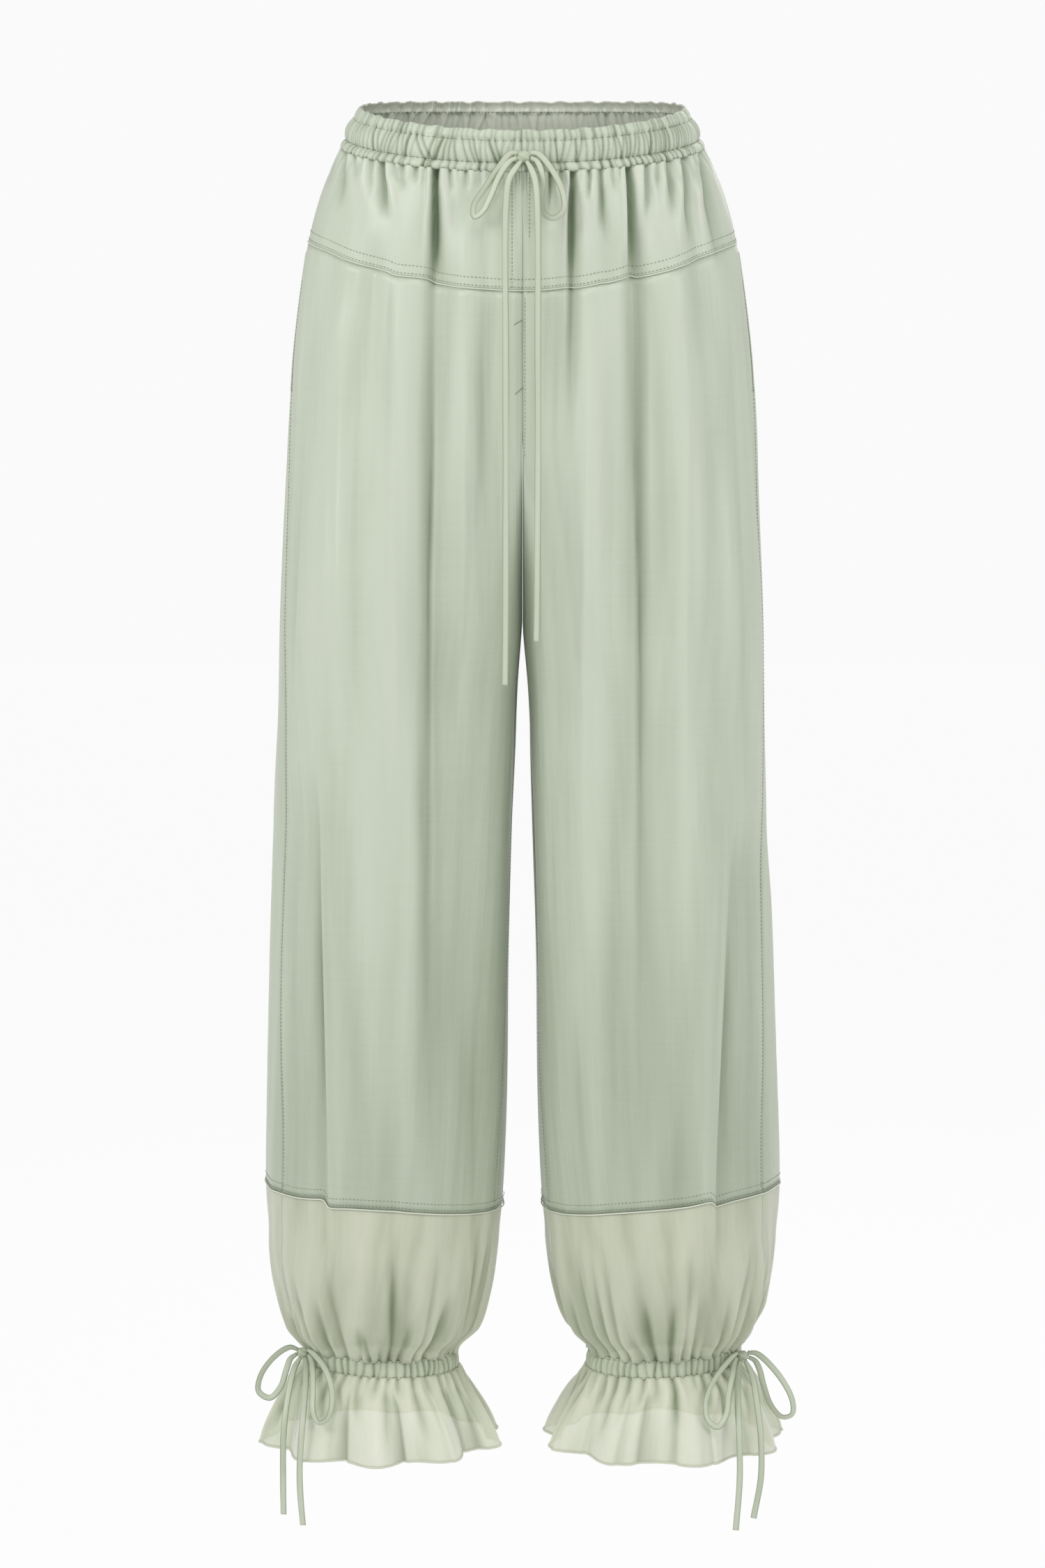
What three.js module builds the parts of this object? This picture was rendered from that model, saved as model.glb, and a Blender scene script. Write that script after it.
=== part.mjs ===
// Balloon pants in satin with sheer gathered ankles, shown filled out as when worn.
// Millimetres, +Z up, front towards -Y, the viewer's right towards +X.
// The origin is on the body's axis at the height of the waistband, where a wearer holds the pants up.
// Every cloth piece is a thin wall between an outer and an inner skin of points, laid on level sections.

import * as THREE from 'three';

// Cloth and seams
const SATIN_WALL = 1.3;
const SHEER_WALL = 1.1;
const SEAM_GAP = 0.3;
const HALF_GAP = SEAM_GAP / 2;

// Waistband: it dips at the front, and holds a frill, an elastic channel and a drawstring channel
const BAND_HEIGHT = 31;
const BAND_FRONT_TOP = 1.6;
const BAND_BACK_TOP = 23.5;
const BAND_DIP_SHAPE = 2.4;
const BAND_GATHERS = 72;
const BAND_GATHER_DEPTH = 1.5;
const BAND_WALL = 2.2;

// Yoke seam, lowest at centre front
const YOKE_SIDE = -82;
const YOKE_FRONT_DROP = 34;
const YOKE_BACK_DROP = 16;
const YOKE_CURVE = 2.2;

// Legs
const CROTCH = -370;
const SATIN_END = -812;
const SATIN_INNER_DIP = 19;

// Ankle
const CASING_TOP = -945;
const CASING_HEIGHT = 12.5;
const CASING_INNER_DROP = 5;
const CASING_GATHERS = 40;
const CASING_GATHER_DEPTH = 1.2;
const CASING_WALL = 1.8;
const FLOUNCE_END = -1021;
const FLOUNCE_WAVES = 9;
const FLOUNCE_WAVE_DEPTH = 7;
const SHEER_FOLDS = 11;
const SHEER_FOLD_DEPTH = 3.6;

// Ties: narrow self-fabric tubes
const TIE_DIAMETER = 3.4;
const TIE_SIDES = 8;
const TIE_STEP = 10;

// Grid of the cloth walls
const FRONT_COLUMNS = 20;
const BACK_COLUMNS = 22;
const FLOUNCE_COLUMNS = 45;

// Colours and finish
const SATIN = { color: 0xc5d0bd, roughness: 0.42, metalness: 0 };
const SATIN_INSIDE = { color: 0xb9c6b0, roughness: 0.5, metalness: 0 };
const SHEER = { color: 0xcbd4b8, roughness: 0.7, metalness: 0 };
const TIE = { color: 0xbcc8b3, roughness: 0.5, metalness: 0 };

// Level sections from the waist to the hem. z is the height, outer and inner the distances of one half's
// outer and inner sides from the middle plane, front and back its reach before and behind that plane's
// axis, square the fullness of its corners (2 is an ellipse), and leg how far it has turned from a half
// of the body into a closed leg.
const SECTIONS = [
  { z: 40, outer: 117, inner: 0.15, front: 88, back: 88, square: 2.05, leg: 0 },
  { z: 22, outer: 124, inner: 0.15, front: 90, back: 90, square: 2.05, leg: 0 },
  { z: 6, outer: 132, inner: 0.15, front: 92, back: 92, square: 2.05, leg: 0 },
  { z: -10, outer: 137, inner: 0.15, front: 94, back: 94, square: 2.1, leg: 0 },
  { z: -27, outer: 145.5, inner: 0.15, front: 97, back: 98, square: 2.1, leg: 0 },
  { z: -53, outer: 155.5, inner: 0.15, front: 102, back: 103, square: 2.15, leg: 0 },
  { z: -83, outer: 163.5, inner: 0.15, front: 105, back: 107, square: 2.2, leg: 0 },
  { z: -116, outer: 168.8, inner: 0.15, front: 107, back: 110, square: 2.2, leg: 0 },
  { z: -167, outer: 175.2, inner: 0.15, front: 108, back: 112, square: 2.25, leg: 0 },
  { z: -220, outer: 179.4, inner: 0.15, front: 108, back: 112, square: 2.3, leg: 0 },
  { z: -255, outer: 181.2, inner: 0.15, front: 107, back: 111, square: 2.4, leg: 0.1 },
  { z: -295, outer: 183.2, inner: 0.15, front: 105, back: 109, square: 2.5, leg: 0.42 },
  { z: -335, outer: 185, inner: 0.15, front: 102, back: 105, square: 2.55, leg: 0.8 },
  { z: -370, outer: 186.4, inner: 0.3, front: 99, back: 101, square: 2.5, leg: 1 },
  { z: -424, outer: 187.9, inner: 4.6, front: 96, back: 98, square: 2.35, leg: 1 },
  { z: -477, outer: 189.1, inner: 6.5, front: 95, back: 96, square: 2.3, leg: 1 },
  { z: -530, outer: 190.5, inner: 8.2, front: 94, back: 95, square: 2.3, leg: 1 },
  { z: -634, outer: 195.2, inner: 10.3, front: 93, back: 94, square: 2.3, leg: 1 },
  { z: -741, outer: 198.8, inner: 12, front: 93, back: 93, square: 2.3, leg: 1 },
  { z: -815, outer: 201, inner: 14.8, front: 92, back: 92, square: 2.25, leg: 1 },
  { z: -848, outer: 199.3, inner: 17.5, front: 91, back: 91, square: 2.15, leg: 1 },
  { z: -875, outer: 196.8, inner: 21.4, front: 87, back: 87, square: 2.1, leg: 1 },
  { z: -902, outer: 191.2, inner: 27.7, front: 78, back: 78, square: 2.05, leg: 1 },
  { z: -929, outer: 182.4, inner: 37.4, front: 63, back: 63, square: 2, leg: 1 },
  { z: -945, outer: 171.5, inner: 51.5, front: 49, back: 49, square: 2, leg: 1 },
  { z: -958, outer: 171, inner: 52.5, front: 48.5, back: 48.5, square: 2, leg: 1 },
  { z: -970, outer: 182, inner: 46.5, front: 57, back: 56, square: 2, leg: 1 },
  { z: -983, outer: 188.6, inner: 38.5, front: 64, back: 62, square: 2, leg: 1 },
  { z: -997, outer: 194, inner: 31.2, front: 71, back: 68, square: 2, leg: 1 },
  { z: -1010, outer: 198.3, inner: 25.4, front: 76, back: 72, square: 2, leg: 1 },
  { z: -1026, outer: 202, inner: 19.8, front: 80, back: 75, square: 2, leg: 1 },
];

// Where the side seam and the inside-leg seam run, as shares of the way round one half from centre
// front (0) past the outer side (0.5) to centre back (1).
const SEAM_LINES = [
  { z: 30, side: 0.479, inside: 0 },
  { z: -83, side: 0.479, inside: 0 },
  { z: -250, side: 0.466, inside: 0 },
  { z: -370, side: 0.455, inside: 0 },
  { z: -450, side: 0.446, inside: 0.002 },
  { z: -560, side: 0.44, inside: 0.01 },
  { z: -700, side: 0.422, inside: 0.03 },
  { z: -815, side: 0.408, inside: 0.052 },
  { z: -900, side: 0.43, inside: 0.05 },
  { z: -945, side: 0.455, inside: 0.045 },
  { z: -1030, side: 0.455, inside: 0.045 },
];

// Large folds. half is -1 on the viewer's left and 1 on the viewer's right, face -1 on the front and 1
// on the back. at and end are the distances from the middle plane at the top and bottom of the fold,
// inner and outer its widths towards and away from the middle, and rise its height over the cloth,
// negative for a trough.
const FOLDS = [
  { half: -1, face: -1, top: -32, bottom: -470, at: 66, end: 70, inner: 17, outer: 7, rise: -10 },
  { half: -1, face: -1, top: -330, bottom: -930, at: 62, end: 46, inner: 34, outer: 14, rise: -9 },
  { half: -1, face: -1, top: -95, bottom: -560, at: 92, end: 97, inner: 10, outer: 16, rise: 4.5 },
  { half: -1, face: -1, top: -70, bottom: -250, at: 112, end: 112, inner: 7, outer: 9, rise: -4 },
  { half: -1, face: -1, top: -100, bottom: -480, at: 134, end: 146, inner: 10, outer: 12, rise: 3.5 },
  { half: -1, face: -1, top: -60, bottom: -330, at: 43, end: 45, inner: 10, outer: 10, rise: 3.5 },
  { half: -1, face: -1, top: -105, bottom: -330, at: 22, end: 19, inner: 7, outer: 9, rise: -4.5 },
  { half: -1, face: -1, top: -460, bottom: -905, at: 160, end: 152, inner: 4, outer: 24, rise: -7 },
  { half: 1, face: -1, top: -32, bottom: -230, at: 38, end: 36, inner: 12, outer: 6, rise: -7 },
  { half: 1, face: -1, top: -95, bottom: -640, at: 51, end: 52, inner: 10, outer: 14, rise: 4.5 },
  { half: 1, face: -1, top: -32, bottom: -520, at: 84, end: 90, inner: 7, outer: 15, rise: -11 },
  { half: 1, face: -1, top: -380, bottom: -930, at: 88, end: 84, inner: 20, outer: 30, rise: -8 },
  { half: 1, face: -1, top: -90, bottom: -330, at: 118, end: 124, inner: 12, outer: 12, rise: 3.5 },
  { half: 1, face: -1, top: -34, bottom: -190, at: 132, end: 136, inner: 8, outer: 8, rise: -4 },
  { half: 1, face: -1, top: -180, bottom: -560, at: 146, end: 150, inner: 10, outer: 10, rise: -3.5 },
  { half: 1, face: -1, top: -500, bottom: -930, at: 166, end: 149, inner: 4, outer: 26, rise: -8 },
  { half: -1, face: 1, top: -30, bottom: -430, at: 52, end: 58, inner: 14, outer: 9, rise: -8 },
  { half: -1, face: 1, top: -60, bottom: -700, at: 116, end: 122, inner: 10, outer: 16, rise: -7 },
  { half: -1, face: 1, top: -420, bottom: -930, at: 78, end: 70, inner: 26, outer: 18, rise: -8 },
  { half: 1, face: 1, top: -30, bottom: -520, at: 66, end: 72, inner: 9, outer: 15, rise: -9 },
  { half: 1, face: 1, top: -80, bottom: -620, at: 128, end: 120, inner: 12, outer: 12, rise: -6 },
  { half: 1, face: 1, top: -480, bottom: -930, at: 92, end: 98, inner: 22, outer: 22, rise: -8 },
];

// Rows of the satin legs between the two seams that bound them
const LEG_LEVELS = [-160, -210, -255, -295, -335, CROTCH, -450, -560, -660, -750];

// Rows of the waistband: how far down from its top edge, and how far out the cloth puffs there
const BAND_ROWS = [
  { down: 0, puff: -2.5 },
  { down: 8, puff: -1.4 },
  { down: 16, puff: 1.7 },
  { down: 24, puff: -1 },
  { down: 27.5, puff: 1.2 },
  { down: BAND_HEIGHT, puff: -0.4 },
];

const clamp01 = (value) => Math.min(1, Math.max(0, value));
const mix = (a, b, share) => a + (b - a) * share;
const smooth = (from, to, value) => {
  const share = clamp01((value - from) / (to - from));
  return share * share * (3 - 2 * share);
};

// A value between the rows of a table, on a smooth curve through them, rows running down in z.
function along(table, z, key) {
  const last = table.length - 1;
  if (z >= table[0].z) return table[0][key];
  if (z <= table[last].z) return table[last][key];
  const i = table.findIndex((row) => row.z <= z);
  const slope = (k) => {
    const a = table[Math.max(0, k - 1)];
    const b = table[Math.min(last, k + 1)];
    return (b[key] - a[key]) / (b.z - a.z);
  };
  const [upper, lower] = [table[i - 1], table[i]];
  const span = lower.z - upper.z;
  const s = (z - upper.z) / span;
  const hermite = [2 * s ** 3 - 3 * s ** 2 + 1, s ** 3 - 2 * s ** 2 + s, 3 * s ** 2 - 2 * s ** 3, s ** 3 - s ** 2];
  return hermite[0] * upper[key] + hermite[1] * span * slope(i - 1)
    + hermite[2] * lower[key] + hermite[3] * span * slope(i);
}

// A repeatable uneven number between 0 and 1 for a whole number.
function uneven(number) {
  const wave = Math.sin(number * 12.9898) * 43758.5453;
  return wave - Math.floor(wave);
}

const power = (value, exponent) => Math.sign(value) * Math.abs(value) ** exponent;

// The level row of the section table at a height.
function sectionAt(z) {
  const row = {};
  for (const key of ['outer', 'inner', 'front', 'back', 'square', 'leg']) row[key] = along(SECTIONS, z, key);
  row.leg = clamp01(row.leg);
  return row;
}

// The plain section without folds. t runs from centre front (0) round the outer side to centre back (1),
// and its lines keep their share of the width all the way down, as the grain of the cloth does.
function plainPoint(half, t, z) {
  const { outer, inner, front, back, square, leg } = sectionAt(z);
  const angle = Math.PI * (2 * t - 1);
  const exponent = 2 / square;
  const x = (outer + inner) / 2 + (outer - inner) / 2 * power(Math.cos(angle), exponent);
  const reach = Math.sin(angle) < 0 ? -front : back;
  const bodyY = reach * Math.max(0, 1 - (x / outer) ** square) ** (1 / square);
  const legY = reach * Math.abs(Math.sin(angle)) ** exponent;
  return new THREE.Vector3(half * Math.max(HALF_GAP, x), mix(bodyY, legY, leg), z);
}

// The level direction out of the cloth at a place of a section function.
function outward(section, half, t, z) {
  const step = 0.004;
  const closed = along(SECTIONS, z, 'leg') >= 1;
  const before = section(half, closed ? t - step : Math.max(0, t - step), z);
  const after = section(half, closed ? t + step : Math.min(1, t + step), z);
  const run = after.sub(before);
  return new THREE.Vector3(run.y * half, -run.x * half, 0).normalize();
}

// How far the large folds lift or sink the cloth at a plain point that faces along normal.
function foldRise(half, point, normal) {
  let rise = 0;
  for (const fold of FOLDS) {
    if (fold.half !== half) continue;
    const facing = clamp01(fold.face * normal.y * 1.6);
    const down = (fold.top - point.z) / (fold.top - fold.bottom);
    if (facing === 0 || down <= 0 || down >= 1) continue;
    const across = Math.abs(point.x) - mix(fold.at, fold.end, down);
    const width = across < 0 ? fold.inner : fold.outer;
    const length = smooth(0, 0.16, down) * (1 - smooth(0.62, 1, down));
    rise += fold.rise * facing * length * Math.exp(-((across / width) ** 2));
  }
  return rise;
}

// Gathers drawn in by the casing: none up at the satin seam, full at the casing.
function sheerRise(half, t, z) {
  const strength = smooth(-835, -925, z) * (1 - 0.45 * smooth(-930, CASING_TOP, z));
  const turn = 2 * Math.PI * (SHEER_FOLDS * t + 0.16 * Math.sin(2 * Math.PI * (2 * t + 0.3 * half)));
  return SHEER_FOLD_DEPTH * strength * Math.cos(turn + half);
}

// Waves of the flounce, deeper towards the hem.
function flounceRise(half, t, z) {
  const strength = smooth(CASING_TOP - CASING_HEIGHT, FLOUNCE_END, z);
  const turn = 2 * Math.PI * (FLOUNCE_WAVES * t + 0.12 * Math.sin(2 * Math.PI * (t + 0.2 * half)));
  return FLOUNCE_WAVE_DEPTH * strength * Math.cos(turn + 2 * half);
}

// The outer face of the cloth of one half, with its large folds, sheer gathers and flounce waves.
function clothPoint(half, t, z) {
  const point = plainPoint(half, t, z);
  const normal = outward(plainPoint, half, t, z);
  let rise = foldRise(half, point, normal);
  if (z > CASING_TOP - CASING_HEIGHT) rise += sheerRise(half, t, z);
  else rise += flounceRise(half, t, z);
  point.addScaledVector(normal, rise);
  point.x = half * Math.max(HALF_GAP, half * point.x);
  return point;
}

// How far forward (1) or back (-1) a line of the cloth lies on the round of the body.
const forwardness = (t) => {
  const across = (1 + Math.cos(Math.PI * (2 * t - 1))) / 2;
  return Math.sqrt(1 - across ** 2) * (t < 0.5 ? 1 : -1);
};

const bandTop = (forward) => {
  const backness = (1 - forward) / 2;
  return BAND_FRONT_TOP + (BAND_BACK_TOP - BAND_FRONT_TOP) * (1 - (1 - backness) ** BAND_DIP_SHAPE);
};

const yokeSeam = (t) => {
  const forward = forwardness(t);
  const drop = forward > 0 ? YOKE_FRONT_DROP : YOKE_BACK_DROP;
  return YOKE_SIDE - drop * Math.abs(forward) ** YOKE_CURVE;
};

const satinSeam = (t) => SATIN_END - SATIN_INNER_DIP * Math.cos(Math.PI * t) ** 4;

const casingTop = (t) => CASING_TOP - CASING_INNER_DROP * Math.cos(Math.PI * t) ** 2;

// Two skins of points, each a list of rows, become one closed wall. In a closed wall every row joins
// its own start, and otherwise the wall has two side edges. The outer skin has as many rows or more.
function wallGeometry(outer, inner, closed) {
  const columns = outer[0].length;
  const positions = [...outer.flat(), ...inner.flat()].flatMap((point) => point.toArray());
  const innerStart = outer.length * columns;
  const triangles = [];
  const quad = (a, b, c, d) => triangles.push(a, b, c, a, c, d);
  const steps = closed ? columns : columns - 1;
  const skin = (rows, start, faceOut) => {
    for (let r = 0; r < rows - 1; r += 1) {
      for (let c = 0; c < steps; c += 1) {
        const next = (c + 1) % columns;
        const corners = [r * columns + c, (r + 1) * columns + c, (r + 1) * columns + next, r * columns + next];
        const [a, b, c2, d] = corners.map((corner) => corner + start);
        if (faceOut) quad(a, b, c2, d);
        else quad(b, a, d, c2);
      }
    }
  };
  skin(outer.length, 0, true);
  skin(inner.length, innerStart, false);
  const outerEnd = (outer.length - 1) * columns;
  const innerEnd = innerStart + (inner.length - 1) * columns;
  for (let c = 0; c < steps; c += 1) {
    const next = (c + 1) % columns;
    quad(innerStart + c, c, next, innerStart + next);
    quad(outerEnd + c, innerEnd + c, innerEnd + next, outerEnd + next);
  }
  if (!closed) {
    for (let r = 0; r < outer.length - 1; r += 1) {
      const [low, high] = [r * columns, (r + 1) * columns];
      quad(low, innerStart + low, innerStart + high, high);
      const side = columns - 1;
      quad(low + side, high + side, innerStart + high + side, innerStart + low + side);
    }
  }
  const geometry = new THREE.BufferGeometry();
  geometry.setAttribute('position', new THREE.Float32BufferAttribute(positions, 3));
  geometry.setIndex(triangles);
  geometry.computeVertexNormals();
  return geometry;
}

// Turns the triangles of a mirrored wall so that they still face out.
function faceOutwards(geometry, half) {
  if (half > 0) return geometry;
  const index = geometry.getIndex().array;
  for (let i = 0; i < index.length; i += 3) [index[i], index[i + 1]] = [index[i + 1], index[i]];
  return geometry;
}

const model = new THREE.Group();

function addNode(name, geometry, finish) {
  const mesh = new THREE.Mesh(geometry, new THREE.MeshStandardMaterial(finish));
  mesh.name = name;
  model.add(mesh);
}

// A wall of one half from rows of { t list, z function }, with its inner skin set in by the wall.
function clothWall(half, rows, section, wall, closed) {
  const outer = rows.map((row) => row.ts.map((t) => section(half, t, row.z(t))));
  const inner = rows.map((row, r) => row.ts.map((t, c) => {
    const normal = outward(section, half, t, row.z(t));
    const point = outer[r][c].clone().addScaledVector(normal, -wall);
    point.x = half * Math.max(HALF_GAP, half * point.x);
    return point;
  }));
  return faceOutwards(wallGeometry(outer, inner, closed), half);
}

// The share of a half's way round that half a seam gap takes.
const seamShare = (z) => {
  const leg = clamp01(along(SECTIONS, z, 'leg'));
  return HALF_GAP / mix(460, 580, leg);
};

// The columns of a front or back panel at a level, from seam to seam.
function panelColumns(face, z) {
  const gap = seamShare(z);
  const side = along(SEAM_LINES, z, 'side');
  const inside = Math.max(0, along(SEAM_LINES, z, 'inside'));
  const [start, end, count] = face < 0
    ? [inside + gap, side - gap, FRONT_COLUMNS]
    : [side + gap, 1 + inside - gap, BACK_COLUMNS];
  return Array.from({ length: count + 1 }, (_, i) => mix(start, end, i / count));
}

// Rows of a panel, each given by the level at which its columns are spread and its own height.
function panelRows(face, heights) {
  return heights.map((height) => ({ ts: panelColumns(face, height(0.3)), z: height }));
}

// Yoke cloth: the large folds, and small gathers below the waistband that die out unevenly.
function yokePoint(half, t, z) {
  const point = clothPoint(half, t, z);
  const pleat = Math.round(t * (FRONT_COLUMNS + BACK_COLUMNS));
  const reach = 26 + 40 * uneven(pleat + 7 * half);
  const below = bandTop(forwardness(t)) - BAND_HEIGHT - z;
  const clear = smooth(4, 14, Math.abs(point.x));
  const depth = BAND_GATHER_DEPTH * clear * (1 - smooth(0, reach, below));
  point.y += depth * Math.sign(point.y) * (pleat % 2 ? 0.6 : -0.6);
  return point;
}

const halves = [{ half: -1, side: 'left' }, { half: 1, side: 'right' }];
const faces = [{ face: -1, place: 'front' }, { face: 1, place: 'back' }];

function buildWaistband() {
  const columns = BAND_GATHERS * 2;
  const ringPoint = (index, down, out) => {
    const turn = 2 * Math.PI * index / columns;
    const z = bandTop(Math.cos(turn)) - down;
    const { outer, front, back, square } = sectionAt(z);
    const exponent = 2 / square;
    const reach = Math.cos(turn) > 0 ? front : back;
    const x = outer * power(Math.sin(turn), exponent);
    const y = -reach * power(Math.cos(turn), exponent);
    const normal = new THREE.Vector3(
      power(Math.sin(turn), 2 - exponent) / outer,
      -power(Math.cos(turn), 2 - exponent) / reach,
      0,
    ).normalize();
    return new THREE.Vector3(x, y, z).addScaledVector(normal, out);
  };
  const gather = (index) => BAND_GATHER_DEPTH * (index % 2 ? -0.5 : 0.5) * (0.6 + 0.6 * uneven(index));
  const ring = (down, out) => Array.from({ length: columns }, (_, i) => ringPoint(i, down, out + gather(i)));
  const outer = BAND_ROWS.map((row) => ring(row.down, row.puff));
  const innerRows = [BAND_ROWS[0], BAND_ROWS[3], BAND_ROWS[5]];
  const inner = innerRows.map((row) => ring(row.down, Math.min(0, row.puff) - BAND_WALL));
  addNode('waistband', wallGeometry(outer, inner, true), SATIN_INSIDE);
}

function buildYoke() {
  for (const { half, side } of halves) {
    for (const { face, place } of faces) {
      const top = (t) => bandTop(forwardness(t)) - BAND_HEIGHT - SEAM_GAP;
      const bottom = (t) => yokeSeam(t) + HALF_GAP;
      const heights = [0, 0.3, 0.62, 1].map((share) => (t) => mix(top(t), bottom(t), share));
      addNode(`yoke_${place}_${side}`, clothWall(half, panelRows(face, heights), yokePoint, SATIN_WALL, false), SATIN);
    }
  }
}

function buildLegs() {
  for (const { half, side } of halves) {
    for (const { face, place } of faces) {
      const levels = LEG_LEVELS.map((level) => () => level);
      const heights = [(t) => yokeSeam(t) - HALF_GAP, ...levels, (t) => satinSeam(t) + HALF_GAP];
      addNode(`leg_${place}_${side}`, clothWall(half, panelRows(face, heights), clothPoint, SATIN_WALL, false), SATIN);
    }
  }
}

function buildSheerPanels() {
  for (const { half, side } of halves) {
    for (const { face, place } of faces) {
      const top = (t) => satinSeam(t) - HALF_GAP;
      const bottom = (t) => casingTop(t) + HALF_GAP;
      const heights = [0, 0.28, 0.56, 0.82, 1].map((share) => (t) => mix(top(t), bottom(t), share));
      addNode(`sheer_${place}_${side}`, clothWall(half, panelRows(face, heights), clothPoint, SHEER_WALL, false), SHEER);
    }
  }
}

function buildCasings() {
  const columns = CASING_GATHERS * 2;
  for (const { half, side } of halves) {
    const ring = (down, out) => Array.from({ length: columns }, (_, i) => {
      const t = i / columns;
      const z = casingTop(t) - HALF_GAP - down;
      const gather = CASING_GATHER_DEPTH * (i % 2 ? -0.5 : 0.5);
      return plainPoint(half, t, z).addScaledVector(outward(plainPoint, half, t, z), out + gather);
    });
    const height = CASING_HEIGHT - SEAM_GAP;
    const outer = [ring(0, 0), ring(height / 2, 1.9), ring(height, 0)];
    const inner = [ring(0, -CASING_WALL), ring(height, -CASING_WALL)];
    addNode(`ankle_casing_${side}`, faceOutwards(wallGeometry(outer, inner, true), half), SATIN_INSIDE);
  }
}

function buildFlounces() {
  const ts = Array.from({ length: FLOUNCE_COLUMNS }, (_, i) => i / FLOUNCE_COLUMNS);
  for (const { half, side } of halves) {
    const top = (t) => casingTop(t) - CASING_HEIGHT - HALF_GAP;
    const heights = [0, 0.2, 0.46, 0.74, 1].map((share) => (t) => mix(top(t), FLOUNCE_END, share));
    const rows = heights.map((z) => ({ ts, z }));
    addNode(`flounce_${side}`, clothWall(half, rows, clothPoint, SHEER_WALL, true), SHEER);
  }
}

// Ties. Each knot is a small flattened ball, and each loop and tail a tube on points chosen by hand.
const KNOTS = {
  waist_knot: { at: [1, -100, -17.6], size: [4.3, 3.4, 3.8] },
  ankle_knot_left: { at: [-172.2, -20.4, -947.4], size: [4.4, 3.2, 3.8] },
  ankle_knot_right: { at: [172.7, -20.6, -949.9], size: [4.4, 3.2, 3.8] },
};

const TIES = {
  waist_loop_left: [
    [-3.4, -100, -15], [-8.8, -101.6, -15.2], [-16.4, -104.4, -24], [-27.2, -108, -39.8],
    [-36, -111, -54.1], [-35.5, -112, -61.7], [-29.3, -112, -57.6], [-23.1, -111, -45.9],
    [-18, -108, -33.7], [-13.2, -104.6, -25.4], [-8.8, -102, -20.6], [-3.9, -100.4, -18.7],
  ],
  waist_loop_right: [
    [5.4, -100, -15], [11.4, -101.8, -15.6], [23.1, -106, -29.7], [29.8, -109.6, -44.9],
    [30.3, -111.5, -56.6], [23.1, -112, -62.7], [15.9, -112, -59.1], [13.9, -111, -48.5],
    [14.9, -108, -36.8], [13.4, -104.8, -26.6], [10.4, -102.2, -20.9], [5.9, -100.4, -18.7],
  ],
  waist_tail_left: [
    [-1, -101.7, -21.2], [-4.8, -106.4, -25.8], [-10, -112, -34.4], [-12.2, -116, -54], [-12.4, -117, -158.3],
    [-12.4, -117, -261.4], [-12.5, -116.5, -365.6], [-13, -116, -408.9],
  ],
  waist_tail_right: [
    [3, -101.7, -21.2], [6.2, -106.8, -26.4], [9.6, -112.6, -36], [11.2, -117, -60], [11.3, -118, -158.2],
    [11.4, -118, -261.3], [10.9, -117, -344.6], [10.4, -116.5, -376],
  ],
  ankle_left_loop_outer: [
    [-176.4, -20.8, -944.9], [-182.4, -23.4, -942.4], [-194, -27.4, -948.7], [-204.9, -30, -963.3],
    [-206.6, -31, -975.9], [-197.9, -31.5, -981], [-189.7, -31, -972.8], [-185, -28.5, -959.4],
    [-181.8, -24.4, -951.4], [-177.1, -21.2, -948.5],
  ],
  ankle_left_loop_inner: [
    [-168.2, -22.6, -944.9], [-163.2, -31.8, -945.8], [-154.8, -44.4, -952.5], [-149, -54.5, -964.5],
    [-148, -64, -977.5], [-151.6, -69, -987.5], [-157.9, -69, -990.3], [-162.4, -66, -983.3],
    [-163, -55, -968.2], [-163.6, -42, -957.8], [-165.2, -30, -951.4], [-167.7, -23.4, -948.7],
  ],
  ankle_left_tail_outer: [
    [-174.2, -22.1, -951.1], [-178.6, -28, -957.6], [-183.2, -43, -977.5], [-186, -55, -1002.6],
    [-186.6, -58, -1039.4], [-186.4, -58, -1066.9],
  ],
  ankle_left_tail_inner: [
    [-170.2, -22.7, -951.1], [-169.4, -32, -957.6], [-169.6, -54, -976.8], [-171.4, -70, -999.7],
    [-172.8, -74, -1026.9], [-172.2, -74.5, -1049.3], [-170.5, -74.5, -1070.5],
  ],
  ankle_right_loop_inner: [
    [168.5, -22.2, -947.4], [163.4, -31.6, -948.6], [154, -46, -955.4], [145.6, -58, -966],
    [141.9, -67, -977.5], [144, -71.5, -988], [151.4, -72, -992.7], [157.8, -69, -984.4],
    [160.4, -57, -970.3], [163.6, -43, -960], [165.6, -30.5, -954], [167.8, -22.8, -951],
  ],
  ankle_right_loop_outer: [
    [176.9, -21, -947.4], [184, -24, -947.6], [200.6, -30, -963.1], [211.2, -33, -982.5],
    [211, -34, -993.6], [203.4, -34, -995.7], [194.7, -33, -986.8], [188.9, -30.5, -971.5],
    [185.4, -27, -958.6], [182.2, -23.6, -953.2], [177.6, -21.4, -951],
  ],
  ankle_right_tail_inner: [
    [170.7, -22.3, -953.6], [168.8, -31, -960.4], [167.6, -53, -977], [168, -70.5, -999.7],
    [168.4, -76, -1032.5], [165.6, -76.5, -1073.9],
  ],
  ankle_right_tail_outer: [
    [174.7, -22.3, -953.6], [179.6, -30.5, -962.4], [183.2, -46, -982.6], [185.6, -58, -1007],
    [185.6, -61, -1036.1], [180.1, -61, -1069.1],
  ],
};

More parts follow.
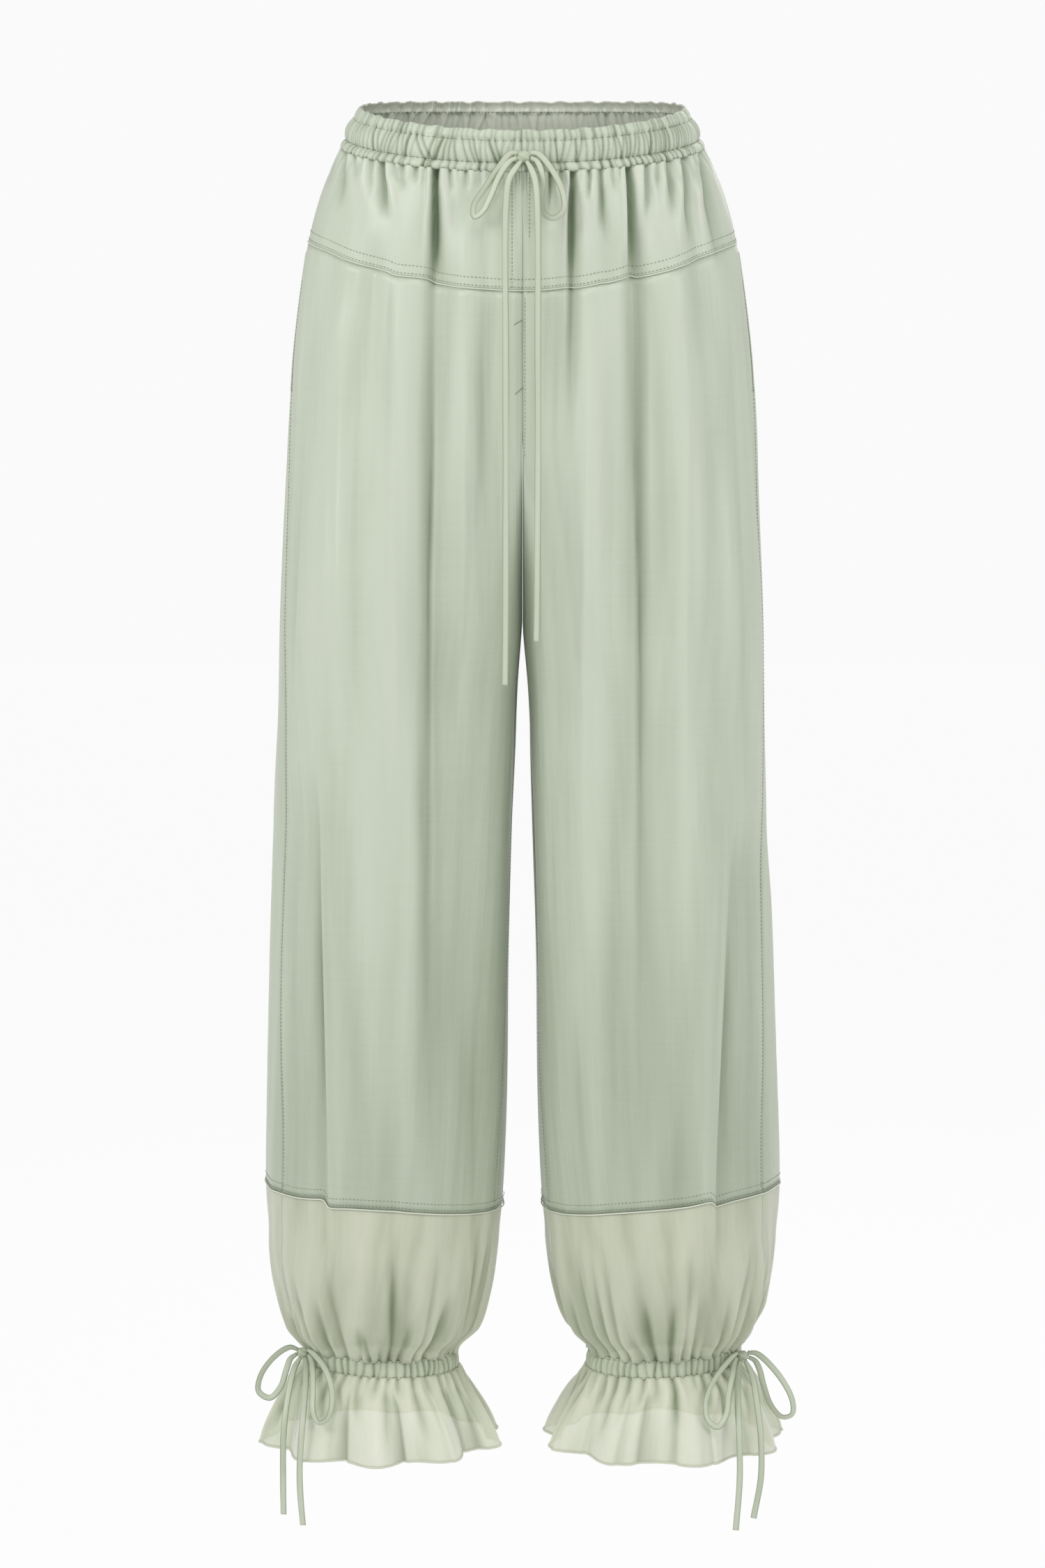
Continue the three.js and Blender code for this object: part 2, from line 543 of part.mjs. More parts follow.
function buildTies() {
  for (const [name, knot] of Object.entries(KNOTS)) {
    const ball = new THREE.SphereGeometry(1, 10, 6);
    ball.scale(...knot.size);
    ball.translate(...knot.at);
    addNode(name, ball, TIE);
  }
  const ring = Array.from({ length: TIE_SIDES }, (_, i) => {
    const angle = 2 * Math.PI * (i + 0.5) / TIE_SIDES;
    return new THREE.Vector2(Math.cos(angle), Math.sin(angle)).multiplyScalar(TIE_DIAMETER / 2);
  });
  for (const [name, points] of Object.entries(TIES)) {
    const path = new THREE.CatmullRomCurve3(points.map((point) => new THREE.Vector3(...point)), false, 'centripetal');
    const steps = Math.max(12, Math.round(path.getLength() / TIE_STEP));
    const tube = new THREE.ExtrudeGeometry(new THREE.Shape(ring), { steps, extrudePath: path, bevelEnabled: false });
    addNode(name, tube, TIE);
  }
}

buildWaistband();
buildYoke();
buildLegs();
buildSheerPanels();
buildCasings();
buildFlounces();
buildTies();

export default model;
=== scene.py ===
"""Balloon pants in satin with sheer gathered ankles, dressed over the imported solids.

Every cloth piece is a fine grid on the same level sections as its solid, with the folds of the
photograph laid in as troughs and ridges. Sizes in the tables are millimetres; points become metres
when a mesh is made. +Z is up, the front faces -Y and the viewer's right is +X.
"""

import logging
from dataclasses import dataclass, field
from enum import Enum
from typing import Callable, Sequence

import bmesh
import bpy
import numpy as np
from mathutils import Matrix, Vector

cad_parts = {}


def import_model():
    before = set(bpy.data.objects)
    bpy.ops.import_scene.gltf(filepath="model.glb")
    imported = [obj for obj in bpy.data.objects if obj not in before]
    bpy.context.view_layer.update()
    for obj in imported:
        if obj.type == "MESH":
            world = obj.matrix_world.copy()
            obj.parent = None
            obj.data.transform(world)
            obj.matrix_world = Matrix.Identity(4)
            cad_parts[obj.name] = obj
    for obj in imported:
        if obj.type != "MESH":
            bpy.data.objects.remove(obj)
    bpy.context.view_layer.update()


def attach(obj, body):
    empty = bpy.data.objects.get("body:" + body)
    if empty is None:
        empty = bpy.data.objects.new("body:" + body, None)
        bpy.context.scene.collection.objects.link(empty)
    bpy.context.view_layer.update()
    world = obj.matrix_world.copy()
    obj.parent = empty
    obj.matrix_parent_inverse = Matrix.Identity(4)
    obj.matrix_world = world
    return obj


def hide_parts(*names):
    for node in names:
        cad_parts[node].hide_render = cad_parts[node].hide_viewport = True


LOG = logging.getLogger("balloon_pants")
MM = 0.001
Tree = bpy.types.NodeTree
Socket = bpy.types.NodeSocket


class Half(Enum):
    """The two halves of the pants, as the viewer sees them from the front."""

    LEFT = -1
    RIGHT = 1


class Face(Enum):
    """Front and back panels."""

    FRONT = -1
    BACK = 1


class Slot(Enum):
    """The material slots of the pieces."""

    SATIN = "satin"
    SHEER = "sheer"
    TIE = "tie"


# Level sections from waist to hem: z, outer, inner, front, back, square, leg, as in the solids
SECTIONS = np.array([
    (40, 117, 0.15, 88, 88, 2.05, 0), (22, 124, 0.15, 90, 90, 2.05, 0), (6, 132, 0.15, 92, 92, 2.05, 0),
    (-10, 137, 0.15, 94, 94, 2.1, 0), (-27, 145.5, 0.15, 97, 98, 2.1, 0),
    (-53, 155.5, 0.15, 102, 103, 2.15, 0), (-83, 163.5, 0.15, 105, 107, 2.2, 0),
    (-116, 168.8, 0.15, 107, 110, 2.2, 0), (-167, 175.2, 0.15, 108, 112, 2.25, 0),
    (-220, 179.4, 0.15, 108, 112, 2.3, 0), (-255, 181.2, 0.15, 107, 111, 2.4, 0.1),
    (-295, 183.2, 0.15, 105, 109, 2.5, 0.42), (-335, 185, 0.15, 102, 105, 2.55, 0.8),
    (-370, 186.4, 0.3, 99, 101, 2.5, 1), (-424, 187.9, 4.6, 96, 98, 2.35, 1),
    (-477, 189.1, 6.5, 95, 96, 2.3, 1), (-530, 190.5, 8.2, 94, 95, 2.3, 1),
    (-634, 195.2, 10.3, 93, 94, 2.3, 1), (-741, 198.8, 12, 93, 93, 2.3, 1),
    (-815, 201, 14.8, 92, 92, 2.25, 1), (-848, 199.3, 17.5, 91, 91, 2.15, 1),
    (-875, 196.8, 21.4, 87, 87, 2.1, 1), (-902, 191.2, 27.7, 78, 78, 2.05, 1),
    (-929, 182.4, 37.4, 63, 63, 2, 1), (-945, 171.5, 51.5, 49, 49, 2, 1),
    (-958, 171, 52.5, 48.5, 48.5, 2, 1), (-970, 182, 46.5, 57, 56, 2, 1),
    (-983, 188.6, 38.5, 64, 62, 2, 1), (-997, 194, 31.2, 71, 68, 2, 1),
    (-1010, 198.3, 25.4, 76, 72, 2, 1), (-1026, 202, 19.8, 80, 75, 2, 1),
])
OUTER, INNER, FRONT, BACK, SQUARE, LEG = range(1, 7)

# Side seam and inside-leg seam as shares of the way round a half: z, side, inside
SEAM_LINES = np.array([
    (30, 0.479, 0), (-83, 0.479, 0), (-250, 0.466, 0), (-370, 0.455, 0), (-450, 0.446, 0.002),
    (-560, 0.44, 0.01), (-700, 0.422, 0.03), (-815, 0.408, 0.052), (-900, 0.43, 0.05),
    (-945, 0.455, 0.045), (-1030, 0.455, 0.045),
])
SIDE, INSIDE = 1, 2

BAND_HEIGHT = 31.0
# How far each half stands off the middle in the solids, and here once its edge is closed
HALF_GAP = 0.15
CLOSED_GAP = 0.02
# How square the flat oval of a tape is, with 1 for an ellipse
OVAL = 0.8
CASING_TOP = -945.0
CASING_HEIGHT = 12.5
FLOUNCE_END = -1021.0
# Length of cloth round a half at the hips and at a leg, round a casing, and the waist's mean radius
HIP_ROUND = 460
LEG_ROUND = 580
CASING_ROUND = 310
WAIST_RADIUS = 116
# The top edge of the waistband at the front and at the back
BAND_FRONT = 1.6
BAND_BACK = 23.5
# Heights of the yoke seam at the sides and of the hem seam, before they dip
YOKE_LEVEL = -82
HEM_LEVEL = -812
# Stitches of the long seams and the radius of the piping, in metres
SEAM_STITCH = {"Pitch": 0.0029, "Length": 0.0019, "Width": 0.0007}
PIPING_RADIUS = 0.0006

# Large folds of the solids: half, face, top, bottom, at, end, inner, outer, rise
LARGE_FOLDS = (
    (-1, -1, -32, -470, 66, 70, 17, 7, -10), (-1, -1, -330, -930, 62, 46, 34, 14, -9),
    (-1, -1, -95, -560, 92, 97, 10, 16, 4.5), (-1, -1, -70, -250, 112, 112, 7, 9, -4),
    (-1, -1, -100, -480, 134, 146, 10, 12, 3.5), (-1, -1, -60, -330, 43, 45, 10, 10, 3.5),
    (-1, -1, -105, -330, 22, 19, 7, 9, -4.5), (-1, -1, -460, -905, 160, 152, 4, 24, -7),
    (1, -1, -32, -230, 38, 36, 12, 6, -7), (1, -1, -95, -640, 51, 52, 10, 14, 4.5),
    (1, -1, -32, -520, 84, 90, 7, 15, -11), (1, -1, -380, -930, 88, 84, 20, 30, -8),
    (1, -1, -90, -330, 118, 124, 12, 12, 3.5), (1, -1, -34, -190, 132, 136, 8, 8, -4),
    (1, -1, -180, -560, 146, 150, 10, 10, -3.5), (1, -1, -500, -930, 166, 149, 4, 26, -8),
    (-1, 1, -30, -430, 52, 58, 14, 9, -8), (-1, 1, -60, -700, 116, 122, 10, 16, -7),
    (-1, 1, -420, -930, 78, 70, 26, 18, -8), (1, 1, -30, -520, 66, 72, 9, 15, -9),
    (1, 1, -80, -620, 128, 120, 12, 12, -6), (1, 1, -480, -930, 92, 98, 22, 22, -8),
)

# Creases that only the fine cloth has, in the same terms
FINE_FOLDS = (
    # viewer's left, front
    (-1, -1, -60, -820, 69.5, 71.0, 1.6, 3.4, -3.2), (-1, -1, -300, -940, 81, 62, 9, 5, -2.4),
    (-1, -1, -90, -420, 84, 88, 4, 6, 1.6), (-1, -1, -120, -330, 31, 27, 4, 7, -2.2),
    (-1, -1, -96, -250, 98.5, 99, 2.6, 4, -2.0), (-1, -1, -380, -800, 118, 112, 12, 9, 1.9),
    (-1, -1, -500, -915, 157.5, 151.5, 1.1, 4, -2.8), (-1, -1, -640, -940, 30, 36, 6, 8, -2.2),
    (-1, -1, -700, -940, 104, 94, 7, 9, -1.8), (-1, -1, -600, -930, 130, 122, 6, 9, -1.4),
    (-1, -1, -180, -520, 122, 128, 7, 5, -1.6),
    (-1, -1, -100, -640, 95.5, 97, 2.0, 2.4, 1.3), (-1, -1, -120, -520, 43, 44, 2.0, 2.0, 1.0),
    (-1, -1, -130, -640, 134, 140, 2.4, 2.4, 1.2), (-1, -1, -440, -935, 154.3, 148.6, 1.3, 1.3, 1.1),
    # viewer's right, front
    (1, -1, -100, -760, 47, 48.5, 2.2, 2.2, 1.4), (1, -1, -120, -600, 121, 124, 2.4, 2.4, 1.1),
    (1, -1, -480, -935, 156.8, 145.2, 1.3, 1.3, 1.1), (1, -1, -100, -420, 96.5, 98, 2.2, 2.2, 1.2),
    (1, -1, -60, -860, 85.5, 90.5, 1.4, 4.0, -3.4), (1, -1, -60, -260, 37, 35.5, 1.8, 2.6, -2.4),
    (1, -1, -420, -930, 69, 66, 8, 4, -2.2), (1, -1, -120, -420, 104, 110, 5, 8, -2.0),
    (1, -1, -300, -700, 122, 126, 9, 8, 1.8), (1, -1, -560, -920, 160, 148, 1.1, 4.4, -2.8),
    (1, -1, -640, -940, 40, 46, 8, 6, -2.0), (1, -1, -720, -940, 122, 112, 7, 9, -1.8),
    (1, -1, -150, -480, 66, 68, 5, 5, -1.4), (1, -1, -90, -230, 19, 17, 4, 6, -1.8),
    # viewer's left, back
    (-1, 1, -60, -520, 55, 60, 1.8, 4, -2.6), (-1, 1, -110, -520, 86, 92, 9, 11, 2.2),
    (-1, 1, -120, -420, 30, 26, 6, 8, -2.0), (-1, 1, -420, -930, 130, 118, 8, 6, -2.0),
    (-1, 1, -560, -940, 46, 52, 8, 7, -2.2), (-1, 1, -640, -930, 104, 96, 7, 9, -1.6),
    # viewer's right, back
    (1, 1, -60, -560, 68, 73, 3.6, 1.6, -2.8), (1, 1, -130, -560, 98, 94, 11, 9, 2.2),
    (1, 1, -100, -360, 36, 32, 7, 6, -2.2), (1, 1, -480, -930, 142, 132, 6, 8, -2.2),
    (1, 1, -520, -940, 56, 50, 7, 8, -2.0), (1, 1, -660, -935, 118, 108, 8, 7, -1.6),
)

# Soft folds down the sides, where no front or back fold reaches: half, share of the way round, drift
# of that share to the bottom, top, bottom, width and rise
SIDE_FOLDS = (
    (-1, 0.405, 0.012, -96, -520, 7, -2.6), (-1, 0.452, -0.02, -140, -760, 10, -2.4),
    (-1, 0.505, 0.016, -90, -430, 8, -2.8), (-1, 0.548, -0.014, -260, -890, 11, -3.0),
    (-1, 0.592, 0.010, -84, -600, 7, -2.8), (-1, 0.478, 0.010, -430, -905, 9, 2.2),
    (1, 0.398, -0.010, -110, -560, 8, -2.6), (1, 0.445, 0.016, -92, -400, 7, -2.6),
    (1, 0.496, -0.018, -200, -820, 11, -2.8), (1, 0.54, 0.014, -88, -520, 8, -3.0),
    (1, 0.588, -0.012, -150, -860, 9, -2.6), (1, 0.466, 0.012, -520, -905, 9, 2.0),
)

# Creases hanging from the waistband: half, face, at, end, length, inner, outer, rise
BAND_CREASES = (
    (-1, -1, 126, 127, 20, 2.4, 2.0, -1.8), (-1, -1, 113.5, 115, 30, 2.6, 2.2, -2.3),
    (-1, -1, 105.5, 101.5, 46, 2.4, 4.2, -3.4), (-1, -1, 96, 93, 16, 2.0, 2.2, -1.5),
    (-1, -1, 90, 89, 22, 2.6, 2.0, -1.8), (-1, -1, 79, 80, 16, 2.0, 2.4, -1.5),
    (-1, -1, 65.5, 70, 96, 4.2, 1.5, -5.2), (-1, -1, 54, 53, 24, 2.2, 2.6, -2.0),
    (-1, -1, 47.5, 47, 15, 1.8, 2.0, -1.4), (-1, -1, 42, 41, 18, 2.0, 2.0, -1.6),
    (-1, -1, 31, 30, 16, 1.8, 2.0, -1.4), (-1, -1, 22, 20, 22, 2.0, 2.4, -1.5),
    (-1, -1, 134, 138, 44, 3.0, 3.0, -2.0), (-1, -1, 141, 150, 34, 3.0, 2.6, -1.8),
    (-1, -1, 119.5, 121, 16, 1.9, 1.9, -1.3), (-1, -1, 72.5, 74, 18, 1.8, 2.0, -1.4),
    (1, -1, 20.6, 19.5, 40, 1.8, 2.2, -2.0), (1, -1, 36.5, 36, 92, 1.5, 3.6, -4.6),
    (1, -1, 28, 27, 20, 1.8, 2.0, -1.5), (1, -1, 43, 43, 16, 1.8, 1.8, -1.3),
    (1, -1, 49, 49.5, 30, 2.2, 2.0, -1.8), (1, -1, 58, 61, 60, 2.4, 3.0, -2.6),
    (1, -1, 67, 68, 20, 2.0, 2.2, -1.6), (1, -1, 78, 85.5, 96, 1.5, 4.4, -5.4),
    (1, -1, 92, 93, 58, 2.0, 2.6, -2.9), (1, -1, 100.6, 101, 22, 2.0, 2.0, -1.7),
    (1, -1, 109, 114, 44, 2.2, 3.2, -2.7), (1, -1, 121, 128, 70, 2.4, 4.0, -3.2),
    (1, -1, 129, 134, 30, 2.2, 2.6, -2.0), (1, -1, 134, 151, 96, 2.4, 3.6, -2.6),
    (1, -1, 72, 73, 16, 1.8, 1.8, -1.3), (1, -1, 115.5, 118, 20, 1.8, 2.0, -1.4),
    (-1, 1, 14, 13, 22, 2.2, 2.4, -1.8), (-1, 1, 27, 28, 34, 2.0, 3.0, -2.4),
    (-1, 1, 38, 37, 18, 2.0, 2.0, -1.5), (-1, 1, 51, 54, 88, 4.0, 1.8, -4.2),
    (-1, 1, 63, 64, 22, 2.0, 2.4, -1.7), (-1, 1, 74, 78, 48, 2.6, 3.2, -2.6),
    (-1, 1, 88, 88, 18, 2.0, 2.0, -1.5), (-1, 1, 99, 103, 40, 2.2, 3.0, -2.3),
    (-1, 1, 114, 118, 76, 3.4, 2.2, -3.4), (-1, 1, 127, 131, 26, 2.2, 2.4, -1.8),
    (-1, 1, 137, 146, 52, 2.4, 3.0, -2.0), (1, 1, 12, 12, 26, 2.0, 2.6, -2.0),
    (1, 1, 24, 22, 18, 2.0, 2.0, -1.5), (1, 1, 35, 37, 54, 2.6, 3.0, -2.8),
    (1, 1, 48, 48, 20, 2.0, 2.2, -1.6), (1, 1, 65, 68, 90, 1.8, 4.2, -4.4),
    (1, 1, 79, 80, 24, 2.2, 2.0, -1.8), (1, 1, 90, 94, 36, 2.2, 2.8, -2.2),
    (1, 1, 104, 104, 18, 2.0, 2.0, -1.5), (1, 1, 112, 117, 62, 2.4, 3.4, -2.9),
    (1, 1, 126, 128, 24, 2.2, 2.2, -1.7), (1, 1, 138, 148, 40, 2.4, 3.0, -2.0),
)

# Where a seam steps down as it runs into a deep fold: half, face, at, step, reach
SEAM_STEPS = (
    (-1, -1, 70, 2.6, 26), (-1, -1, 98, 1.6, 14), (1, -1, 86, -2.4, 22), (1, -1, 36.5, -1.2, 14),
    (1, -1, 61, -0.8, 12), (-1, 1, 54, 1.8, 20), (1, 1, 68, -1.8, 20),
)
HEM_STEPS = (
    (-1, -1, 152, 5.5, 16), (1, -1, 147.5, -6.0, 18), (-1, 1, 118, 2.2, 16), (1, 1, 132, 2.0, 16),
)

# Creases across the front of the elastic, at the viewer's x: x, slant, strength
ELASTIC_FRONT = (
    (-127, 2, 0.8), (-124, -2, 0.9), (-120.5, -2, 0.7), (-118, -3, 0.8), (-110.5, -6, 1.5),
    (-102.5, 1, 0.8), (-96.5, 1, 0.8), (-91, -3, 0.7), (-84, -1, 1.4), (-74.5, -11, 0.9),
    (-66, 1, 0.9), (-60, 2, 1.5), (-52, -1, 0.8), (-48, -4, 0.8), (-36, -6, 0.8), (-29.5, -2, 0.7),
    (-21, -6, 1.3), (-14, 1, 0.7), (-6, 0, 0.9), (3.5, 1, 0.8), (8, 0, 0.7), (15, 1, 0.9),
    (19.5, 2, 0.8), (24, 0, 1.0), (28.5, 4, 0.9), (38, 2, 1.1), (41, 5, 0.8), (45.5, 2, 0.7),
    (51, 3, 0.9), (57.5, 4, 1.0), (61.5, 5, 0.8), (67, 3, 0.9), (72.5, 6, 0.8), (78, 5, 1.0),
    (84.5, 6, 0.8), (88.5, 4, 0.7), (94, 6, 1.4), (97.5, 5, 0.8), (101.5, 4, 0.8), (105.5, 5, 1.2),
    (108, 4, 1.2), (114, 4, 0.9), (118, 3, 0.8), (121.5, 3, 0.9), (126, 3, 0.8),
)

# Routes of the ties, in metres, as in the solids
TIE_ROUTES = {
    "waist_loop_left": (
        (-0.0034, -0.1, -0.015), (-0.0088, -0.1016, -0.0152), (-0.0164, -0.1044, -0.024),
        (-0.0272, -0.108, -0.0398), (-0.036, -0.111, -0.0541), (-0.0355, -0.112, -0.0617),
        (-0.0293, -0.112, -0.0576), (-0.0231, -0.111, -0.0459), (-0.018, -0.108, -0.0337),
        (-0.0132, -0.1046, -0.0254), (-0.0088, -0.102, -0.0206), (-0.0039, -0.1004, -0.0187),
    ),
    "waist_loop_right": (
        (0.0054, -0.1, -0.015), (0.0114, -0.1018, -0.0156), (0.0231, -0.106, -0.0297),
        (0.0298, -0.1096, -0.0449), (0.0303, -0.1115, -0.0566), (0.0231, -0.112, -0.0627),
        (0.0159, -0.112, -0.0591), (0.0139, -0.111, -0.0485), (0.0149, -0.108, -0.0368),
        (0.0134, -0.1048, -0.0266), (0.0104, -0.1022, -0.0209), (0.0059, -0.1004, -0.0187),
    ),
    "waist_tail_left": (
        (-0.001, -0.1017, -0.0212), (-0.0048, -0.1064, -0.0258), (-0.01, -0.112, -0.0344),
        (-0.0122, -0.116, -0.054), (-0.0124, -0.117, -0.1583), (-0.0124, -0.117, -0.2614),
        (-0.0125, -0.1165, -0.3656), (-0.013, -0.116, -0.4089),
    ),
    "waist_tail_right": (
        (0.003, -0.1017, -0.0212), (0.0062, -0.1068, -0.0264), (0.0096, -0.1126, -0.036),
        (0.0112, -0.117, -0.06), (0.0113, -0.118, -0.1582), (0.0114, -0.118, -0.2613),
        (0.0109, -0.117, -0.3446), (0.0104, -0.1165, -0.376),
    ),
    "ankle_left_loop_outer": (
        (-0.1764, -0.0208, -0.9449), (-0.1824, -0.0234, -0.9424), (-0.194, -0.0274, -0.9487),
        (-0.2049, -0.03, -0.9633), (-0.2066, -0.031, -0.9759), (-0.1979, -0.0315, -0.981),
        (-0.1897, -0.031, -0.9728), (-0.185, -0.0285, -0.9594), (-0.1818, -0.0244, -0.9514),
        (-0.1771, -0.0212, -0.9485),
    ),
    "ankle_left_loop_inner": (
        (-0.1682, -0.0226, -0.9449), (-0.1632, -0.0318, -0.9458), (-0.1548, -0.0444, -0.9525),
        (-0.149, -0.0545, -0.9645), (-0.148, -0.064, -0.9775), (-0.1516, -0.069, -0.9875),
        (-0.1579, -0.069, -0.9903), (-0.1624, -0.066, -0.9833), (-0.163, -0.055, -0.9682),
        (-0.1636, -0.042, -0.9578), (-0.1652, -0.03, -0.9514), (-0.1677, -0.0234, -0.9487),
    ),
    "ankle_left_tail_outer": (
        (-0.1742, -0.0221, -0.9511), (-0.1786, -0.028, -0.9576), (-0.1832, -0.043, -0.9775),
        (-0.186, -0.055, -1.0026), (-0.1866, -0.058, -1.0394), (-0.1864, -0.058, -1.0669),
    ),
    "ankle_left_tail_inner": (
        (-0.1702, -0.0227, -0.9511), (-0.1694, -0.032, -0.9576), (-0.1696, -0.054, -0.9768),
        (-0.1714, -0.07, -0.9997), (-0.1728, -0.074, -1.0269), (-0.1722, -0.0745, -1.0493),
        (-0.1705, -0.0745, -1.0705),
    ),
    "ankle_right_loop_inner": (
        (0.1685, -0.0222, -0.9474), (0.1634, -0.0316, -0.9486), (0.154, -0.046, -0.9554),
        (0.1456, -0.058, -0.966), (0.1419, -0.067, -0.9775), (0.144, -0.0715, -0.988),
        (0.1514, -0.072, -0.9927), (0.1578, -0.069, -0.9844), (0.1604, -0.057, -0.9703),
        (0.1636, -0.043, -0.96), (0.1656, -0.0305, -0.954), (0.1678, -0.0228, -0.951),
    ),
    "ankle_right_loop_outer": (
        (0.1769, -0.021, -0.9474), (0.184, -0.024, -0.9476), (0.2006, -0.03, -0.9631),
        (0.2112, -0.033, -0.9825), (0.211, -0.034, -0.9936), (0.2034, -0.034, -0.9957),
        (0.1947, -0.033, -0.9868), (0.1889, -0.0305, -0.9715), (0.1854, -0.027, -0.9586),
        (0.1822, -0.0236, -0.9532), (0.1776, -0.0214, -0.951),
    ),
    "ankle_right_tail_inner": (
        (0.1707, -0.0223, -0.9536), (0.1688, -0.031, -0.9604), (0.1676, -0.053, -0.977),
        (0.168, -0.0705, -0.9997), (0.1684, -0.076, -1.0325), (0.1656, -0.0765, -1.0739),
    ),
    "ankle_right_tail_outer": (
        (0.1747, -0.0223, -0.9536), (0.1796, -0.0305, -0.9624), (0.1832, -0.046, -0.9826),
        (0.1856, -0.058, -1.007), (0.1856, -0.061, -1.0361), (0.1801, -0.061, -1.0691),
    ),
}


# Shapes shared by all cloth pieces


def smooth(start: float, end: float, value: np.ndarray) -> np.ndarray:
    """Rise softly from 0 at start to 1 at end."""
    share = np.clip((np.asarray(value, float) - start) / (end - start), 0, 1)
    return share * share * (3 - 2 * share)


def mix(a: np.ndarray, b: np.ndarray, share: np.ndarray) -> np.ndarray:
    """Blend from a to b."""
    return a + (b - a) * share


def along(table: np.ndarray, z: np.ndarray, column: int) -> np.ndarray:
    """Read a table between its rows on the smooth curve that the solids use.

    Args:
        table: Rows that run down in z, with z in the first column.
        z: Heights in millimetres.
        column: The column to read.

    Returns:
        The value at each height.
    """
    heights, values = table[:, 0], table[:, column]
    last = len(heights) - 1
    ahead = np.minimum(np.arange(last + 1) + 1, last)
    behind = np.maximum(np.arange(last + 1) - 1, 0)
    slopes = (values[ahead] - values[behind]) / (heights[ahead] - heights[behind])
    level = np.clip(z, heights[-1], heights[0])
    upper = np.clip(np.searchsorted(-heights, -level, side="right") - 1, 0, last - 1)
    span = heights[upper + 1] - heights[upper]
    s = (level - heights[upper]) / span
    return ((2 * s**3 - 3 * s**2 + 1) * values[upper] + (s**3 - 2 * s**2 + s) * span * slopes[upper]
            + (3 * s**2 - 2 * s**3) * values[upper + 1] + (s**3 - s**2) * span * slopes[upper + 1])


def leg_share(z: np.ndarray) -> np.ndarray:
    """Tell how far the section has turned from the body (0) into a leg of its own (1)."""
    return np.clip(along(SECTIONS, z, LEG), 0, 1)


def way_round(z: np.ndarray) -> np.ndarray:
    """Give the length of cloth round a half at heights, in millimetres."""
    return mix(HIP_ROUND, LEG_ROUND, leg_share(z))


def wrapped(gap: np.ndarray, whole: float = 1.0) -> np.ndarray:
    """Measure a gap round a closed ring by the short way."""
    return (gap + whole / 2) % whole - whole / 2


def pleat(distance: np.ndarray, width: float) -> np.ndarray:
    """Give the section of a narrow pleat by the distance from its line."""
    return np.exp(-(np.abs(distance / width) ** 1.3))


def signed_power(value: np.ndarray, exponent: np.ndarray) -> np.ndarray:
    """Raise to a power and keep the sign."""
    return np.sign(value) * np.abs(value) ** exponent


def plain_point(half: int, t: np.ndarray, z: np.ndarray) -> np.ndarray:
    """Place points on the plain section of one half.

    Args:
        half: -1 on the viewer's left, 1 on the viewer's right.
        t: Share of the way round, from centre front (0) past the outer side (0.5) to centre back (1).
        z: Heights in millimetres.

    Returns:
        Points with x, y and z in the last axis, in millimetres.
    """
    outer, inner, front, back, square = (along(SECTIONS, z, k) for k in (OUTER, INNER, FRONT, BACK, SQUARE))
    angle = np.pi * (2 * t - 1)
    exponent = 2 / square
    x = (outer + inner) / 2 + (outer - inner) / 2 * signed_power(np.cos(angle), exponent)
    reach = np.where(np.sin(angle) < 0, -front, back)
    body = reach * np.maximum(0, 1 - np.clip(x / outer, 0, 1) ** square) ** (1 / square)
    leg_y = reach * np.abs(np.sin(angle)) ** exponent
    return np.stack([half * np.maximum(HALF_GAP, x), mix(body, leg_y, leg_share(z)), z + 0 * t], axis=-1)


Section = Callable[[int, np.ndarray, np.ndarray], np.ndarray]


def outward(section: Section, half: int, t: np.ndarray, z: np.ndarray) -> np.ndarray:
    """Give the level direction out of the cloth at places of a section."""
    step = 0.004
    closed = along(SECTIONS, z, LEG) >= 1
    before = section(half, np.where(closed, t - step, np.maximum(0, t - step)), z)
    after = section(half, np.where(closed, t + step, np.minimum(1, t + step)), z)
    run = after - before
    normal = np.stack([run[..., 1] * half, -run[..., 0] * half, 0 * run[..., 0]], axis=-1)
    return normal / np.maximum(1e-9, np.linalg.norm(normal, axis=-1, keepdims=True))


def crease(share: np.ndarray) -> np.ndarray:
    """Give the section of a sharp crease: a narrow trough between two soft shoulders."""
    away = np.abs(share)
    return np.exp(-(away ** 1.3)) - 0.34 * np.exp(-(((away - 2.5) / 1.2) ** 2))


def fold_rise(folds: Sequence[tuple], half: int, point: np.ndarray, normal: np.ndarray,
              sharp: bool = False) -> np.ndarray:
    """Add up how far a list of folds lifts or sinks the cloth.

    Args:
        folds: Rows of half, face, top, bottom, at, end, inner, outer and rise.
        half: The half being dressed.
        point: Plain points.
        normal: The direction that the cloth faces at each point.
        sharp: Whether the folds are creases and not round.

    Returns:
        The rise in millimetres, negative in a trough.
    """
    rise = np.zeros(point.shape[:-1])
    for row_half, face, top, bottom, at, end, inner, outer, height in folds:
        if row_half != half:
            continue
        facing = np.clip(face * normal[..., 1] * 1.6, 0, 1)
        down = (top - point[..., 2]) / (top - bottom)
        across = np.abs(point[..., 0]) - mix(at, end, down)
        width = np.where(across < 0, inner, outer) * (1 + 0.9 * smooth(0.3, 1, down))
        ends = (0.35, 0.3) if sharp else (0.16, 0.55)
        length = smooth(0, ends[0], down) * (1 - smooth(ends[1], 1, down)) * ((down > 0) & (down < 1))
        section = crease(across / width) if sharp else np.exp(-((across / width) ** 2))
        rise += height * facing * length * section
    return rise


def side_rise(half: int, t: np.ndarray, z: np.ndarray) -> np.ndarray:
    """Give the soft folds that run down the sides, in millimetres."""
    rise = np.zeros(np.broadcast(t, z).shape)
    around = way_round(z)
    for row_half, at, drift, top, bottom, width, height in SIDE_FOLDS:
        if row_half != half:
            continue
        down = (top - z) / (top - bottom)
        length = smooth(0, 0.2, down) * (1 - smooth(0.55, 1, down)) * ((down > 0) & (down < 1))
        across = (t - at - drift * down) * around / width
        rise += height * length * np.exp(-(np.abs(across) ** 1.6))
    return rise


